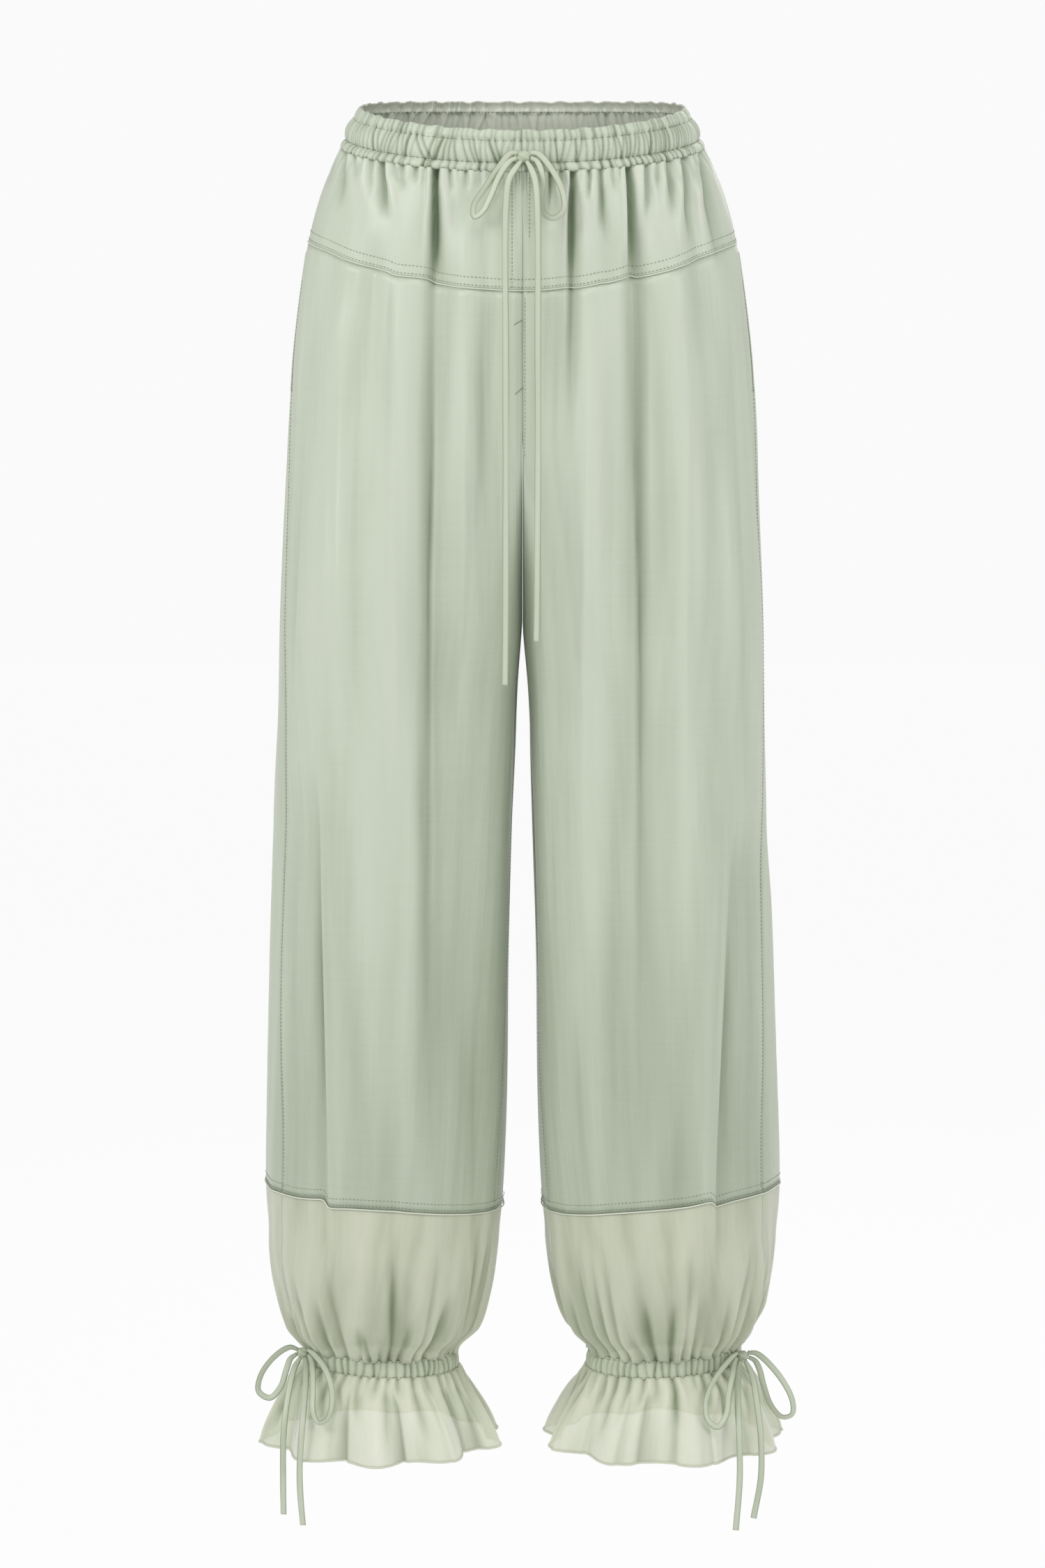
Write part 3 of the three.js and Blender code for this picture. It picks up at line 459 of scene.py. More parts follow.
def forwardness(t: np.ndarray) -> np.ndarray:
    """Tell how far forward (1) or back (-1) a line of the cloth lies on the round of the body."""
    across = (1 + np.cos(np.pi * (2 * t - 1))) / 2
    return np.sqrt(np.maximum(0, 1 - across**2)) * np.where(t < 0.5, 1, -1)


def band_top(forward: np.ndarray) -> np.ndarray:
    """Give the height of the waistband's top edge, which dips at the front."""
    return BAND_FRONT + (BAND_BACK - BAND_FRONT) * (1 - (1 - (1 - forward) / 2) ** 2.4)


def seam_steps(steps: Sequence[tuple], half: int, t: np.ndarray, z: np.ndarray) -> np.ndarray:
    """Give how far a seam steps up or down beside the folds that carry it.

    Args:
        steps: Rows of half, face, at, step and reach.
        half: The half being dressed.
        t: Share of the way round.
        z: Heights of the plain seam.

    Returns:
        The change of height in millimetres.
    """
    point = plain_point(half, t, z)
    change = np.zeros(np.shape(point)[:-1])
    for row_half, face, at, step, reach in steps:
        if row_half != half:
            continue
        across = np.abs(point[..., 0]) - at
        near = np.exp(-((across / reach) ** 2)) * np.clip(face * np.sign(point[..., 1]) * 2, 0, 1)
        change += step / 2 * np.tanh(across / 2.2) * near
    return change


def yoke_seam(half: int, t: np.ndarray) -> np.ndarray:
    """Give the height of the seam between yoke and leg."""
    forward = forwardness(t)
    plain = YOKE_LEVEL - np.where(forward > 0, 34, 16) * np.abs(forward) ** 2.2
    return plain + seam_steps(SEAM_STEPS, half, t, plain)


def satin_seam(half: int, t: np.ndarray) -> np.ndarray:
    """Give the height of the seam between satin leg and sheer panel."""
    plain = HEM_LEVEL - 19 * np.cos(np.pi * t) ** 4
    return plain + seam_steps(HEM_STEPS, half, t, plain)


def casing_top(t: np.ndarray) -> np.ndarray:
    """Give the height of the ankle casing's top edge."""
    return CASING_TOP - 5 * np.cos(np.pi * t) ** 2


def swell(half: int, t: np.ndarray, z: np.ndarray) -> np.ndarray:
    """Give the faint uneven swell of hanging cloth, in millimetres."""
    waves = ((7.3, 0.0011, 0.55, 0.3), (11.7, -0.0016, 0.34, 1.9), (19.1, 0.0023, 0.2, 4.1),
             (31.7, -0.002, 0.1, 2.2))
    total = np.zeros(np.broadcast(t, z).shape)
    for turns, drift, height, start in waves:
        turn = 2 * np.pi * (turns * t + drift * z) + start * half + 1.3 * np.sin(0.011 * z + start)
        total += height * np.cos(turn)
    return total


def drawn_gathers(half: int, t: np.ndarray, z: np.ndarray) -> np.ndarray:
    """Give the uneven gathers that the casing draws in above and below itself.

    Args:
        half: The half being dressed.
        t: Share of the way round.
        z: Heights in millimetres.

    Returns:
        The rise in millimetres: sharp troughs, deepest at the casing, each of its own length.
    """
    chance = np.random.default_rng(29 if half < 0 else 33)
    above = z - casing_top(t)
    below = casing_top(t) - CASING_HEIGHT - z
    fuller = np.where(above > 0, smooth(0, 110, above), smooth(0, 60, below))
    around = mix(CASING_ROUND, 560, fuller)
    total = np.zeros(np.broadcast(t, z).shape)
    at = 0.005
    while at < 0.995:
        lean = float(chance.uniform(-0.012, 0.012))
        reach_up, reach_down = float(chance.uniform(30, 125)), float(chance.uniform(14, 62))
        depth_up, depth_down = float(chance.uniform(1.6, 5.4)), float(chance.uniform(1.4, 4.6))
        up, down = above / reach_up, below / reach_down
        share = np.clip(np.where(above > 0, up, down), 0, 1)
        gap = wrapped(t - at - lean * share)
        width = mix(1.25, 4.4, share)
        trough = crease(gap * around / width) * (1 - smooth(0.4, 1, share))
        total -= np.where(above > 0, depth_up, depth_down) * trough
        at += float(chance.uniform(0.015, 0.036))
    return total


def sheer_rise(half: int, t: np.ndarray, z: np.ndarray) -> np.ndarray:
    """Give the gathers that the casing draws into the sheer panels."""
    strength = smooth(-835, -925, z) * (1 - 0.45 * smooth(-930, CASING_TOP, z))
    turn = 2 * np.pi * (11 * t + 0.16 * np.sin(2 * np.pi * (2 * t + 0.3 * half)))
    wide = 3.6 * strength * np.cos(turn + half)
    return wide + (drawn_gathers(half, t, z) + 0.8) * smooth(-845, -865, z)


def flounce_rise(half: int, t: np.ndarray, z: np.ndarray) -> np.ndarray:
    """Give the waves of the flounce, deeper towards the hem, and the gathers that start them."""
    strength = smooth(CASING_TOP - CASING_HEIGHT, FLOUNCE_END, z)
    turn = 2 * np.pi * (9 * t + 0.12 * np.sin(2 * np.pi * (t + 0.2 * half)))
    wide = 7 * strength * np.cos(turn + 2 * half)
    return wide + drawn_gathers(half, t, z) + 0.7 + knife_folds(half, t, z)


def knife_folds(half: int, t: np.ndarray, z: np.ndarray) -> np.ndarray:
    """Give the crisp folds of a flounce: steep on one side, soft on the other, deeper downwards."""
    chance = np.random.default_rng(61 if half < 0 else 67)
    below = smooth(-955, -985, z)
    total = np.zeros(np.broadcast(t, z).shape)
    at = 0.01
    while at < 0.985:
        lean, start = float(chance.uniform(-0.014, 0.014)), float(chance.uniform(0, 0.35))
        depth, turned = float(chance.uniform(1.6, 4.2)), float(chance.choice((-1.0, 1.0)))
        gap = wrapped(t - at - lean * below)
        across = turned * gap * mix(320, 520, below)
        width = np.where(across < 0, 1.1, 9.0)
        total -= depth * smooth(start, 1, below) * np.exp(-(np.abs(across / width) ** 1.4))
        at += float(chance.uniform(0.03, 0.075))
    return total + 0.9 * below


def cloth_point(half: int, t: np.ndarray, z: np.ndarray) -> np.ndarray:
    """Place points of the finished cloth of one half, with all its folds."""
    point = plain_point(half, t, z)
    normal = outward(plain_point, half, t, z)
    rise = fold_rise(LARGE_FOLDS, half, point, normal)
    rise = rise + fold_rise(FINE_FOLDS, half, point, normal, sharp=True)
    swelling = smooth(-40, -90, z) * (1 - smooth(-925, -945, z))
    rise = rise + side_rise(half, t, z) + swell(half, t, z) * swelling
    rise = rise + np.where(z > CASING_TOP - CASING_HEIGHT, sheer_rise(half, t, z), flounce_rise(half, t, z))
    rise = rise + band_creases(half, t, point, normal)
    point = point + normal * rise[..., None]
    point[..., 0] = half * np.maximum(HALF_GAP, half * point[..., 0])
    return point


def band_creases(half: int, t: np.ndarray, point: np.ndarray, normal: np.ndarray) -> np.ndarray:
    """Give the creases that hang from the waistband, full at the band and fading down."""
    below = band_top(forwardness(t)) - BAND_HEIGHT - point[..., 2]
    rise = np.zeros(below.shape)
    for row_half, face, at, end, length, inner, outer, height in BAND_CREASES:
        if row_half != half:
            continue
        share = below / length
        across = np.abs(point[..., 0]) - mix(at, end, np.clip(share, -0.2, 1))
        width = np.where(across < 0, inner, outer) * (0.78 + 0.6 * np.clip(share, 0, 1))
        facing = np.clip(face * normal[..., 1] * 2.2, 0, 1)
        rise += 1.55 * height * facing * (1 - smooth(0.35, 1, share)) * crease(across / width)
    gather = 0.7 * np.cos(2 * np.pi * (43 * t + 0.5 * np.sin(14 * t + half))) * (1 - smooth(2, 20, below))
    return rise + gather


def seam_groove(distance: np.ndarray, depth: float, width: float) -> np.ndarray:
    """Sink the cloth beside a seam line, by the distance from it."""
    return -depth * np.exp(-((distance / width) ** 2))


# Materials


def linear(code: str) -> tuple[float, float, float, float]:
    """Turn an sRGB hex colour into linear RGBA."""
    channels = [int(code[i:i + 2], 16) / 255 for i in (1, 3, 5)]
    return (*[c / 12.92 if c <= 0.04045 else ((c + 0.055) / 1.055) ** 2.4 for c in channels], 1.0)


def add(tree: Tree, kind: str, settings: dict | None = None, **inputs: object) -> bpy.types.Node:
    """Add a node with its settings, input values and links.

    Args:
        tree: The tree that gets the node.
        kind: The node's type name.
        settings: Properties of the node itself.
        inputs: Values or output sockets by input name, with spaces as underscores, or i0, i1 by number.

    Returns:
        The new node.
    """
    node = tree.nodes.new(kind)
    for name, value in (settings or {}).items():
        setattr(node, name, value)
    for name, value in inputs.items():
        numbered = name[0] == "i" and name[1:].isdigit()
        socket = node.inputs[int(name[1:])] if numbered else node.inputs[name.replace("_", " ")]
        if isinstance(value, bpy.types.NodeSocket):
            tree.links.new(value, socket)
        else:
            socket.default_value = value
    return node


def blend(tree: Tree, value: Socket, by: float, plus: object, clamp: bool = False) -> Socket:
    """Multiply a value and add to it."""
    settings = {"operation": "MULTIPLY_ADD", "use_clamp": clamp}
    return add(tree, "ShaderNodeMath", settings, i0=value, i1=by, i2=plus).outputs[0]


def total(tree: Tree, one: Socket, other: Socket) -> Socket:
    """Add two values."""
    return add(tree, "ShaderNodeMath", {"operation": "ADD"}, i0=one, i1=other).outputs[0]


def noise(tree: Tree, place: Socket, scale: tuple[float, float, float], **inputs: float) -> Socket:
    """Add noise over places that are scaled along each axis."""
    scaled = add(tree, "ShaderNodeMapping", None, Vector=place, Scale=scale)
    inputs = {"Scale": 1.0, **inputs}
    return add(tree, "ShaderNodeTexNoise", None, Vector=scaled.outputs[0], **inputs).outputs[0]


def bump(tree: Tree, height: Socket, distance: float, strength: float, **inputs: Socket) -> Socket:
    """Raise the shading normal by a height, over an earlier normal if one is given."""
    return add(tree, "ShaderNodeBump", None, Height=height, Distance=distance, Strength=strength,
               **inputs).outputs[0]


def ramp(tree: Tree, value: Socket, stops: Sequence[tuple[float, str]]) -> Socket:
    """Turn a value into a colour between the given stops."""
    node = add(tree, "ShaderNodeValToRGB", None, i0=value)
    elements = node.color_ramp.elements
    while len(elements) < len(stops):
        elements.new(0.5)
    for element, (place, code) in zip(elements, stops):
        element.position = place
        element.color = linear(code)
    return node.outputs[0]


def cloth_tone(tree: Tree, even: Socket, shade: str, middle: str, light: str) -> Socket:
    """Colour cloth by its even tone and by how sunk or raised it is, from the fold attribute: painted shade
    in troughs, painted light on ridges.
    """
    fold_shading = add(tree, "ShaderNodeAttribute", {"attribute_name": "fold_shading"}).outputs["Fac"]
    return ramp(tree, blend(tree, fold_shading, 1.0, even, clamp=True), ((0.0, shade), (0.5, middle), (1.0, light)))


def empty_material(name: str) -> tuple[bpy.types.Material, Tree]:
    """Start a material with an empty node tree."""
    material = bpy.data.materials.new(name)
    material.use_nodes = True
    material.node_tree.nodes.clear()
    return material, material.node_tree


def surface(tree: Tree, **inputs: object) -> None:
    """End a material's tree with its surface shader."""
    shader = add(tree, "ShaderNodeBsdfPrincipled", None, **inputs)
    add(tree, "ShaderNodeOutputMaterial", None, Surface=shader.outputs[0])


@dataclass(frozen=True)
class SatinFinish:
    """Sandwashed viscose satin: a soft streaky gloss along the warp, over a fine cross weave.

    The warp floats make the long light streaks down the cloth, painted into the colour as painted
    highlight over a faint bump, and the washed face keeps the highlight broad and pale. Threads of
    0.25 mm are too fine to show, so they are drawn at 1.3 mm.
    """

    name: str
    light: str
    middle: str
    shade: str
    roughness: float = 0.43
    thread_mm: float = 1.3

    def make(self) -> bpy.types.Material:
        """Build the material."""
        material, tree = empty_material(self.name)
        place = add(tree, "ShaderNodeUVMap", {"uv_map": "cloth"}).outputs[0]
        across = 0.5 * 1000 / self.thread_mm
        threads = total(tree, noise(tree, place, (across, 9.0, 1.0), Detail=2.0),
                        noise(tree, place, (14.0, across, 1.0), Detail=2.0))
        # Patches about 40 mm wide and 300 mm long, and streaks about 12 mm wide and 150 mm long
        patch = noise(tree, place, (26.0, 3.2, 1.0), Detail=3.0, Roughness=0.55)
        streak = noise(tree, place, (85.0, 6.5, 1.0), Detail=2.5, Roughness=0.6)
        even = total(tree, blend(tree, patch, 0.24, 0.38), blend(tree, threads, 0.05, -0.05))
        # Painted highlight: the streaks lighten and darken the colour in long lines, as the warp's gloss
        # would
        even = total(tree, even, blend(tree, streak, 0.15, -0.075))
        hung = bump(tree, streak, 0.0016, 0.6)
        surface(tree, Base_Color=cloth_tone(tree, even, self.shade, self.middle, self.light),
                Roughness=blend(tree, patch, 0.12, self.roughness - 0.06),
                Normal=bump(tree, threads, 0.00009, 0.35, Normal=hung), IOR=1.5, Sheen_Weight=0.1,
                Sheen_Roughness=0.45, Specular_IOR_Level=0.5)
        return material


@dataclass(frozen=True)
class SheerFinish:
    """Crinkled chiffon: a thin open cloth that lets some of what is behind it show, with no gloss.

    Its two sets of hard-twisted threads make a fine even grid, drawn at 1.2 mm to show at all.
    """

    name: str = "chiffon_sheer"
    light: str = "#f0f1e2"
    middle: str = "#d9dec8"
    shade: str = "#98a483"
    alpha: float = 0.64
    thread_mm: float = 1.2

    def make(self) -> bpy.types.Material:
        """Build the material."""
        material, tree = empty_material(self.name)
        place = add(tree, "ShaderNodeUVMap", {"uv_map": "cloth"}).outputs[0]
        per_metre = 1000 / self.thread_mm
        crinkle = noise(tree, place, (per_metre, per_metre, 1.0), Scale=0.5, Detail=2.0)
        # Streaks about 20 mm wide and 140 mm long, painted into the colour as the shade and light of small
        # creases, over a bump of the same streaks
        streak = noise(tree, place, (52.0, 7.0, 1.0), Detail=3.0, Roughness=0.55)
        even = blend(tree, streak, 0.85, 0.1)
        hung = bump(tree, streak, 0.003, 0.6)
        surface(tree, Base_Color=cloth_tone(tree, even, self.shade, self.middle, self.light),
                Roughness=0.6, Normal=bump(tree, crinkle, 0.0001, 0.6, Normal=hung), IOR=1.45,
                Alpha=self.alpha, Sheen_Weight=0.6, Sheen_Roughness=0.5, Specular_IOR_Level=0.25)
        return material


@dataclass(frozen=True)
class ThreadFinish:
    """Spun polyester sewing thread, a shade darker than the cloth, so that the rows read as dots."""

    name: str = "sewing_thread"
    colour: str = "#83927a"
    light: str = "#97a58c"

    def make(self) -> bpy.types.Material:
        """Build the material."""
        material, tree = empty_material(self.name)
        place = add(tree, "ShaderNodeTexCoord").outputs["Object"]
        twist = add(tree, "ShaderNodeTexNoise", None, Vector=place, Scale=1400.0, Detail=1.0).outputs[0]
        surface(tree, Base_Color=ramp(tree, twist, ((0.3, self.colour), (0.7, self.light))), Roughness=0.6,
                Normal=bump(tree, twist, 0.0001, 0.4))
        return material


@dataclass(frozen=True)
class BackdropFinish:
    """Matt white studio paper, which stays an even near white behind the cloth."""

    name: str = "studio_paper"
    colour: str = "#3a3a3a"
    light: str = "#3c3c3c"
    glow: float = 0.912

    def make(self) -> bpy.types.Material:
        """Build the material."""
        material, tree = empty_material(self.name)
        place = add(tree, "ShaderNodeTexCoord").outputs["Object"]
        fibre = add(tree, "ShaderNodeTexNoise", None, Vector=place, Scale=40.0, Detail=2.0).outputs[0]
        surface(tree, Base_Color=ramp(tree, fibre, ((0.3, self.colour), (0.7, self.light))), Roughness=0.9,
                Emission_Color=linear("#ffffff"), Emission_Strength=self.glow)
        return material


# Meshes


def link_mesh(name: str, mesh: bpy.types.Mesh, material: bpy.types.Material) -> bpy.types.Object:
    """Put a mesh into the scene as a smooth object with one material."""
    obj = bpy.data.objects.new(name, mesh)
    bpy.context.scene.collection.objects.link(obj)
    mesh.materials.clear()
    mesh.materials.append(material)
    mesh.polygons.foreach_set("use_smooth", [True] * len(mesh.polygons))
    return obj


def set_cloth(mesh: bpy.types.Mesh, uv: np.ndarray, fold_shading: np.ndarray) -> None:
    """Give a mesh its place on the flat cloth at each point, and its painted shading, dark where it is sunk
    and light where it is raised.
    """
    layer = mesh.uv_layers.new(name="cloth")
    corners = np.empty(len(mesh.loops), dtype=np.int64)
    mesh.loops.foreach_get("vertex_index", corners)
    layer.data.foreach_set("uv", uv.reshape(-1, 2)[corners].ravel())
    tone = mesh.attributes.new("fold_shading", "FLOAT", "POINT")
    tone.data.foreach_set("value", fold_shading.ravel().astype(np.float32))


def ring_quads(rings: int, around: int) -> np.ndarray:
    """List the faces between closed rings of points."""
    index = np.arange(rings * around).reshape(rings, around)
    turned = np.roll(index, -1, axis=1)
    return np.stack([index[:-1], turned[:-1], turned[1:], index[1:]], axis=-1).reshape(-1, 4)


def applied(obj: bpy.types.Object) -> bpy.types.Object:
    """Turn an object's modifiers into plain mesh and remove them."""
    evaluated = obj.evaluated_get(bpy.context.evaluated_depsgraph_get())
    mesh = bpy.data.meshes.new_from_object(evaluated)
    obj.modifiers.clear()
    old = obj.data
    obj.data = mesh
    bpy.data.meshes.remove(old)
    return obj


@dataclass
class ClothGrid:
    """A grid of cloth points that becomes one thin sheet.

    The points are rows down and columns round, in millimetres. thickness is the cloth's in
    millimetres, laid inwards. uv gives the place on the flat cloth in metres, and fold the painted
    shading of each point: painted shade where it is sunk (below zero), painted light where it is
    raised. A tube's last row joins its first, so it is a wall already and gets no thickness.
    """

    points: np.ndarray
    uv: np.ndarray
    fold_shading: np.ndarray
    closed: bool
    flip: bool
    thickness: float = 0.8
    tube: bool = False

    def build(self, name: str, material: bpy.types.Material) -> bpy.types.Object:
        """Make the sheet's object.

        Args:
            name: The object's name.
            material: Its material.

        Returns:
            The object, with its thickness applied.
        """
        rows, columns = self.points.shape[:2]
        index = np.arange(rows * columns).reshape(rows, columns)
        right = np.roll(index, -1, axis=1) if self.closed else index[:, 1:]
        left = index if self.closed else index[:, :-1]
        upper, lower = slice(0, -1), slice(1, None)
        if self.tube:
            upper, lower = slice(None), np.roll(np.arange(rows), -1)
        quads = np.stack([left[upper], left[lower], right[lower], right[upper]], axis=-1).reshape(-1, 4)
        if self.flip:
            quads = quads[:, ::-1]
        mesh = bpy.data.meshes.new(name)
        mesh.from_pydata((self.points.reshape(-1, 3) * MM).tolist(), [], quads.tolist())
        set_cloth(mesh, self.uv, self.fold_shading)
        obj = link_mesh(name, mesh, material)
        if self.tube:
            return obj
        wall = obj.modifiers.new("cloth_thickness", "SOLIDIFY")
        wall.thickness = self.thickness * MM
        wall.offset = -1.0
        return applied(obj)


def swept_tube(name: str, path: np.ndarray, half_width: np.ndarray, half_thick: np.ndarray, sides: int,
               wide: np.ndarray, material: bpy.types.Material) -> bpy.types.Object:
    """Sweep a flat oval along a path and close its ends.

    Args:
        name: The object's name.
        path: Points in metres.
        half_width: Half the width at each point, in metres.
        half_thick: Half the thickness at each point, in metres.
        sides: Points round the oval.
        wide: The direction of the width at each point.
        material: Its material.

    Returns:
        The tube's object.
    """
    run = np.gradient(path, axis=0)
    run /= np.linalg.norm(run, axis=1, keepdims=True)
    across = wide - np.sum(wide * run, axis=1, keepdims=True) * run
    across /= np.maximum(1e-9, np.linalg.norm(across, axis=1, keepdims=True))
    up = np.cross(run, across)
    angles = 2 * np.pi * np.arange(sides) / sides
    width = (signed_power(np.cos(angles), OVAL)[None, :] * half_width[:, None])[..., None]
    thick = (signed_power(np.sin(angles), OVAL)[None, :] * half_thick[:, None])[..., None]
    rings = path[:, None, :] + across[:, None, :] * width + up[:, None, :] * thick
    count = len(path)
    faces = ring_quads(count, sides).tolist()
    faces.append(list(range(sides))[::-1])
    faces.append(list(range((count - 1) * sides, count * sides)))
    mesh = bpy.data.meshes.new(name)
    mesh.from_pydata(rings.reshape(-1, 3).tolist(), [], faces)
    lengths = np.concatenate([[0], np.cumsum(np.linalg.norm(np.diff(path, axis=0), axis=1))])
    uv = np.stack([np.cos(angles)[None, :] * half_width[:, None],
                   lengths[:, None] + 0 * angles[None, :]], axis=-1)
    # Painted shade along the rolled edges of the tape, and a little painted light on its flat faces
    set_cloth(mesh, uv, np.tile(0.14 - 0.62 * np.abs(np.cos(angles)) ** 4, count))
    return link_mesh(name, mesh, material)


def smooth_path(points: Sequence[tuple[float, float, float]], step: float) -> np.ndarray:
    """Run the solids' centripetal curve through given points.

    Args:
        points: Route points in metres.
        step: Spacing of the returned points in metres.

    Returns:
        Evenly spaced points on the curve.
    """
    route = np.array(points, float)
    ends = [2 * route[0] - route[1], *route, 2 * route[-1] - route[-2]]
    dense = []
    for a, b, c, d in zip(ends, ends[1:], ends[2:], ends[3:]):
        t0 = 0.0
        t1 = t0 + np.linalg.norm(b - a) ** 0.5
        t2 = t1 + np.linalg.norm(c - b) ** 0.5
        t3 = t2 + np.linalg.norm(d - c) ** 0.5
        t = np.linspace(t1, t2, 24, endpoint=False)[:, None]
        a1 = (t1 - t) / (t1 - t0) * a + (t - t0) / (t1 - t0) * b
        a2 = (t2 - t) / (t2 - t1) * b + (t - t1) / (t2 - t1) * c
        a3 = (t3 - t) / (t3 - t2) * c + (t - t2) / (t3 - t2) * d
        b1 = (t2 - t) / (t2 - t0) * a1 + (t - t0) / (t2 - t0) * a2
        b2 = (t3 - t) / (t3 - t1) * a2 + (t - t1) / (t3 - t1) * a3
        dense.append((t2 - t) / (t2 - t1) * b1 + (t - t1) / (t2 - t1) * b2)
    curve = np.vstack([*dense, route[-1:]])
    lengths = np.concatenate([[0], np.cumsum(np.linalg.norm(np.diff(curve, axis=0), axis=1))])
    places = np.linspace(0, lengths[-1], max(8, int(round(lengths[-1] / step))) + 1)
    return np.stack([np.interp(places, lengths, curve[:, k]) for k in range(3)], axis=1)


# Geometry Nodes for what repeats


def new_node_group(name: str, inputs: Sequence[tuple[str, str, object]]) -> bpy.types.NodeTree:
    """Start a Geometry Nodes tree with named inputs and one geometry output."""
    tree = bpy.data.node_groups.new(name, "GeometryNodeTree")
    tree.interface.new_socket("Geometry", in_out="INPUT", socket_type="NodeSocketGeometry")
    for label, kind, default in inputs:
        socket = tree.interface.new_socket(label, in_out="INPUT", socket_type=kind)
        if default is not None:
            socket.default_value = default
    tree.interface.new_socket("Geometry", in_out="OUTPUT", socket_type="NodeSocketGeometry")
    return tree


def stitch_tree() -> bpy.types.NodeTree:
    """Build the tree that sews a row of stitches along mesh edges.

    Returns:
        A tree with the inputs Pitch, Length, Width, Seed and Material.
    """
    tree = new_node_group("sewn_stitches", (
        ("Pitch", "NodeSocketFloat", 0.0026), ("Length", "NodeSocketFloat", 0.0018),
        ("Width", "NodeSocketFloat", 0.0005), ("Seed", "NodeSocketInt", 7),
        ("Material", "NodeSocketMaterial", None)))
    given = add(tree, "NodeGroupInput").outputs
    row = add(tree, "GeometryNodeMeshToCurve", None, Mesh=given["Geometry"])
    spaced = add(tree, "GeometryNodeResampleCurve", {"mode": "LENGTH"}, Curve=row.outputs[0],
                 Length=given["Pitch"])
    stitch = add(tree, "GeometryNodeMeshUVSphere", None, Segments=5, Rings=4, Radius=0.5)
    size = add(tree, "ShaderNodeCombineXYZ", None, X=given["Width"], Y=given["Width"], Z=given["Length"])
    shaped = add(tree, "GeometryNodeTransform", None, Geometry=stitch.outputs[0], Scale=size.outputs[0])
    direction = add(tree, "GeometryNodeInputTangent")
    turn = add(tree, "FunctionNodeAlignEulerToVector", {"axis": "Z"}, Vector=direction.outputs[0])
    sizes = add(tree, "FunctionNodeRandomValue", {"data_type": "FLOAT"}, i2=0.85, i3=1.1,
                Seed=given["Seed"])
    placed = add(tree, "GeometryNodeInstanceOnPoints", None, Points=spaced.outputs[0],
                 Instance=shaped.outputs[0], Rotation=turn.outputs[0], Scale=sizes.outputs[1])
    real = add(tree, "GeometryNodeRealizeInstances", None, i0=placed.outputs[0])
    done = add(tree, "GeometryNodeSetMaterial", None, Geometry=real.outputs[0], Material=given["Material"])
    add(tree, "NodeGroupOutput", None, i0=done.outputs[0])
    return tree


def cord_edge_tree() -> bpy.types.NodeTree:
    """Build the tree that lays a thin round edge, such as piping or a rolled hem, along mesh edges.

    Returns:
        A tree with the inputs Radius, Spacing and Material.
    """
    tree = new_node_group("round_edge", (
        ("Radius", "NodeSocketFloat", 0.0008), ("Spacing", "NodeSocketFloat", 0.002),
        ("Material", "NodeSocketMaterial", None)))
    given = add(tree, "NodeGroupInput").outputs
    row = add(tree, "GeometryNodeMeshToCurve", None, Mesh=given["Geometry"])
    spaced = add(tree, "GeometryNodeResampleCurve", {"mode": "LENGTH"}, Curve=row.outputs[0],
                 Length=given["Spacing"])
    circle = add(tree, "GeometryNodeCurvePrimitiveCircle", None, Resolution=8, Radius=given["Radius"])
    tube = add(tree, "GeometryNodeCurveToMesh", None, Curve=spaced.outputs[0],
               Profile_Curve=circle.outputs[0], Fill_Caps=True)
    real = add(tree, "GeometryNodeRealizeInstances", None, i0=tube.outputs[0])
    done = add(tree, "GeometryNodeSetMaterial", None, Geometry=real.outputs[0], Material=given["Material"])
    add(tree, "NodeGroupOutput", None, i0=done.outputs[0])
    return tree


@dataclass
class LineWork:
    """Lays stitches, piping and rolled hems along paths with one of the Geometry Nodes trees."""

    tree: bpy.types.NodeTree
    material: bpy.types.Material

    def lay(self, name: str, paths: Sequence[tuple[np.ndarray, bool]], **values: float) -> bpy.types.Object:
        """Lay the tree's work along paths.

        Args:
            name: The object's name.
            paths: Points in millimetres, and whether the path joins its own start.
            values: The tree's inputs by name.

        Returns:
            The finished object, as plain mesh.
        """
        points, edges = [], []
        for path, closed in paths:
            start = len(points)
            points += (path * MM).tolist()
            edges += [(start + i, start + i + 1) for i in range(len(path) - 1)]
            if closed:
                edges.append((start + len(path) - 1, start))
        mesh = bpy.data.meshes.new(name)
        mesh.from_pydata(points, edges, [])
        obj = bpy.data.objects.new(name, mesh)
        bpy.context.scene.collection.objects.link(obj)
        modifier = obj.modifiers.new("laid", "NODES")
        modifier.node_group = self.tree
        for item in self.tree.interface.items_tree:
            if item.item_type != "SOCKET" or item.in_out != "INPUT":
                continue
            if item.name in values:
                modifier[item.identifier] = values[item.name]
            elif item.name == "Material":
                modifier[item.identifier] = self.material
        applied(obj)
        obj.data.polygons.foreach_set("use_smooth", [True] * len(obj.data.polygons))
        return obj


def declare(obj: bpy.types.Object, slot: Slot, *nodes: str) -> None:
    """Let a piece ride on the pants and stand for its CAD nodes."""
    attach(obj, "root")
    if nodes:
        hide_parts(*nodes)
    LOG.info("%s: %d faces", obj.name, len(obj.data.polygons))


# The pants


# Soft square lights: name, place and size in metres, power in watts
LIGHTS = (
    ("key", (-2.7, -2.0, 1.5), 1.5, 55.0), ("right", (2.9, -1.7, 1.1), 1.5, 34.0),
    ("top", (0.1, -1.7, 2.7), 1.4, 26.0), ("rear", (0.6, 2.6, 1.2), 2.4, 33.0),
)


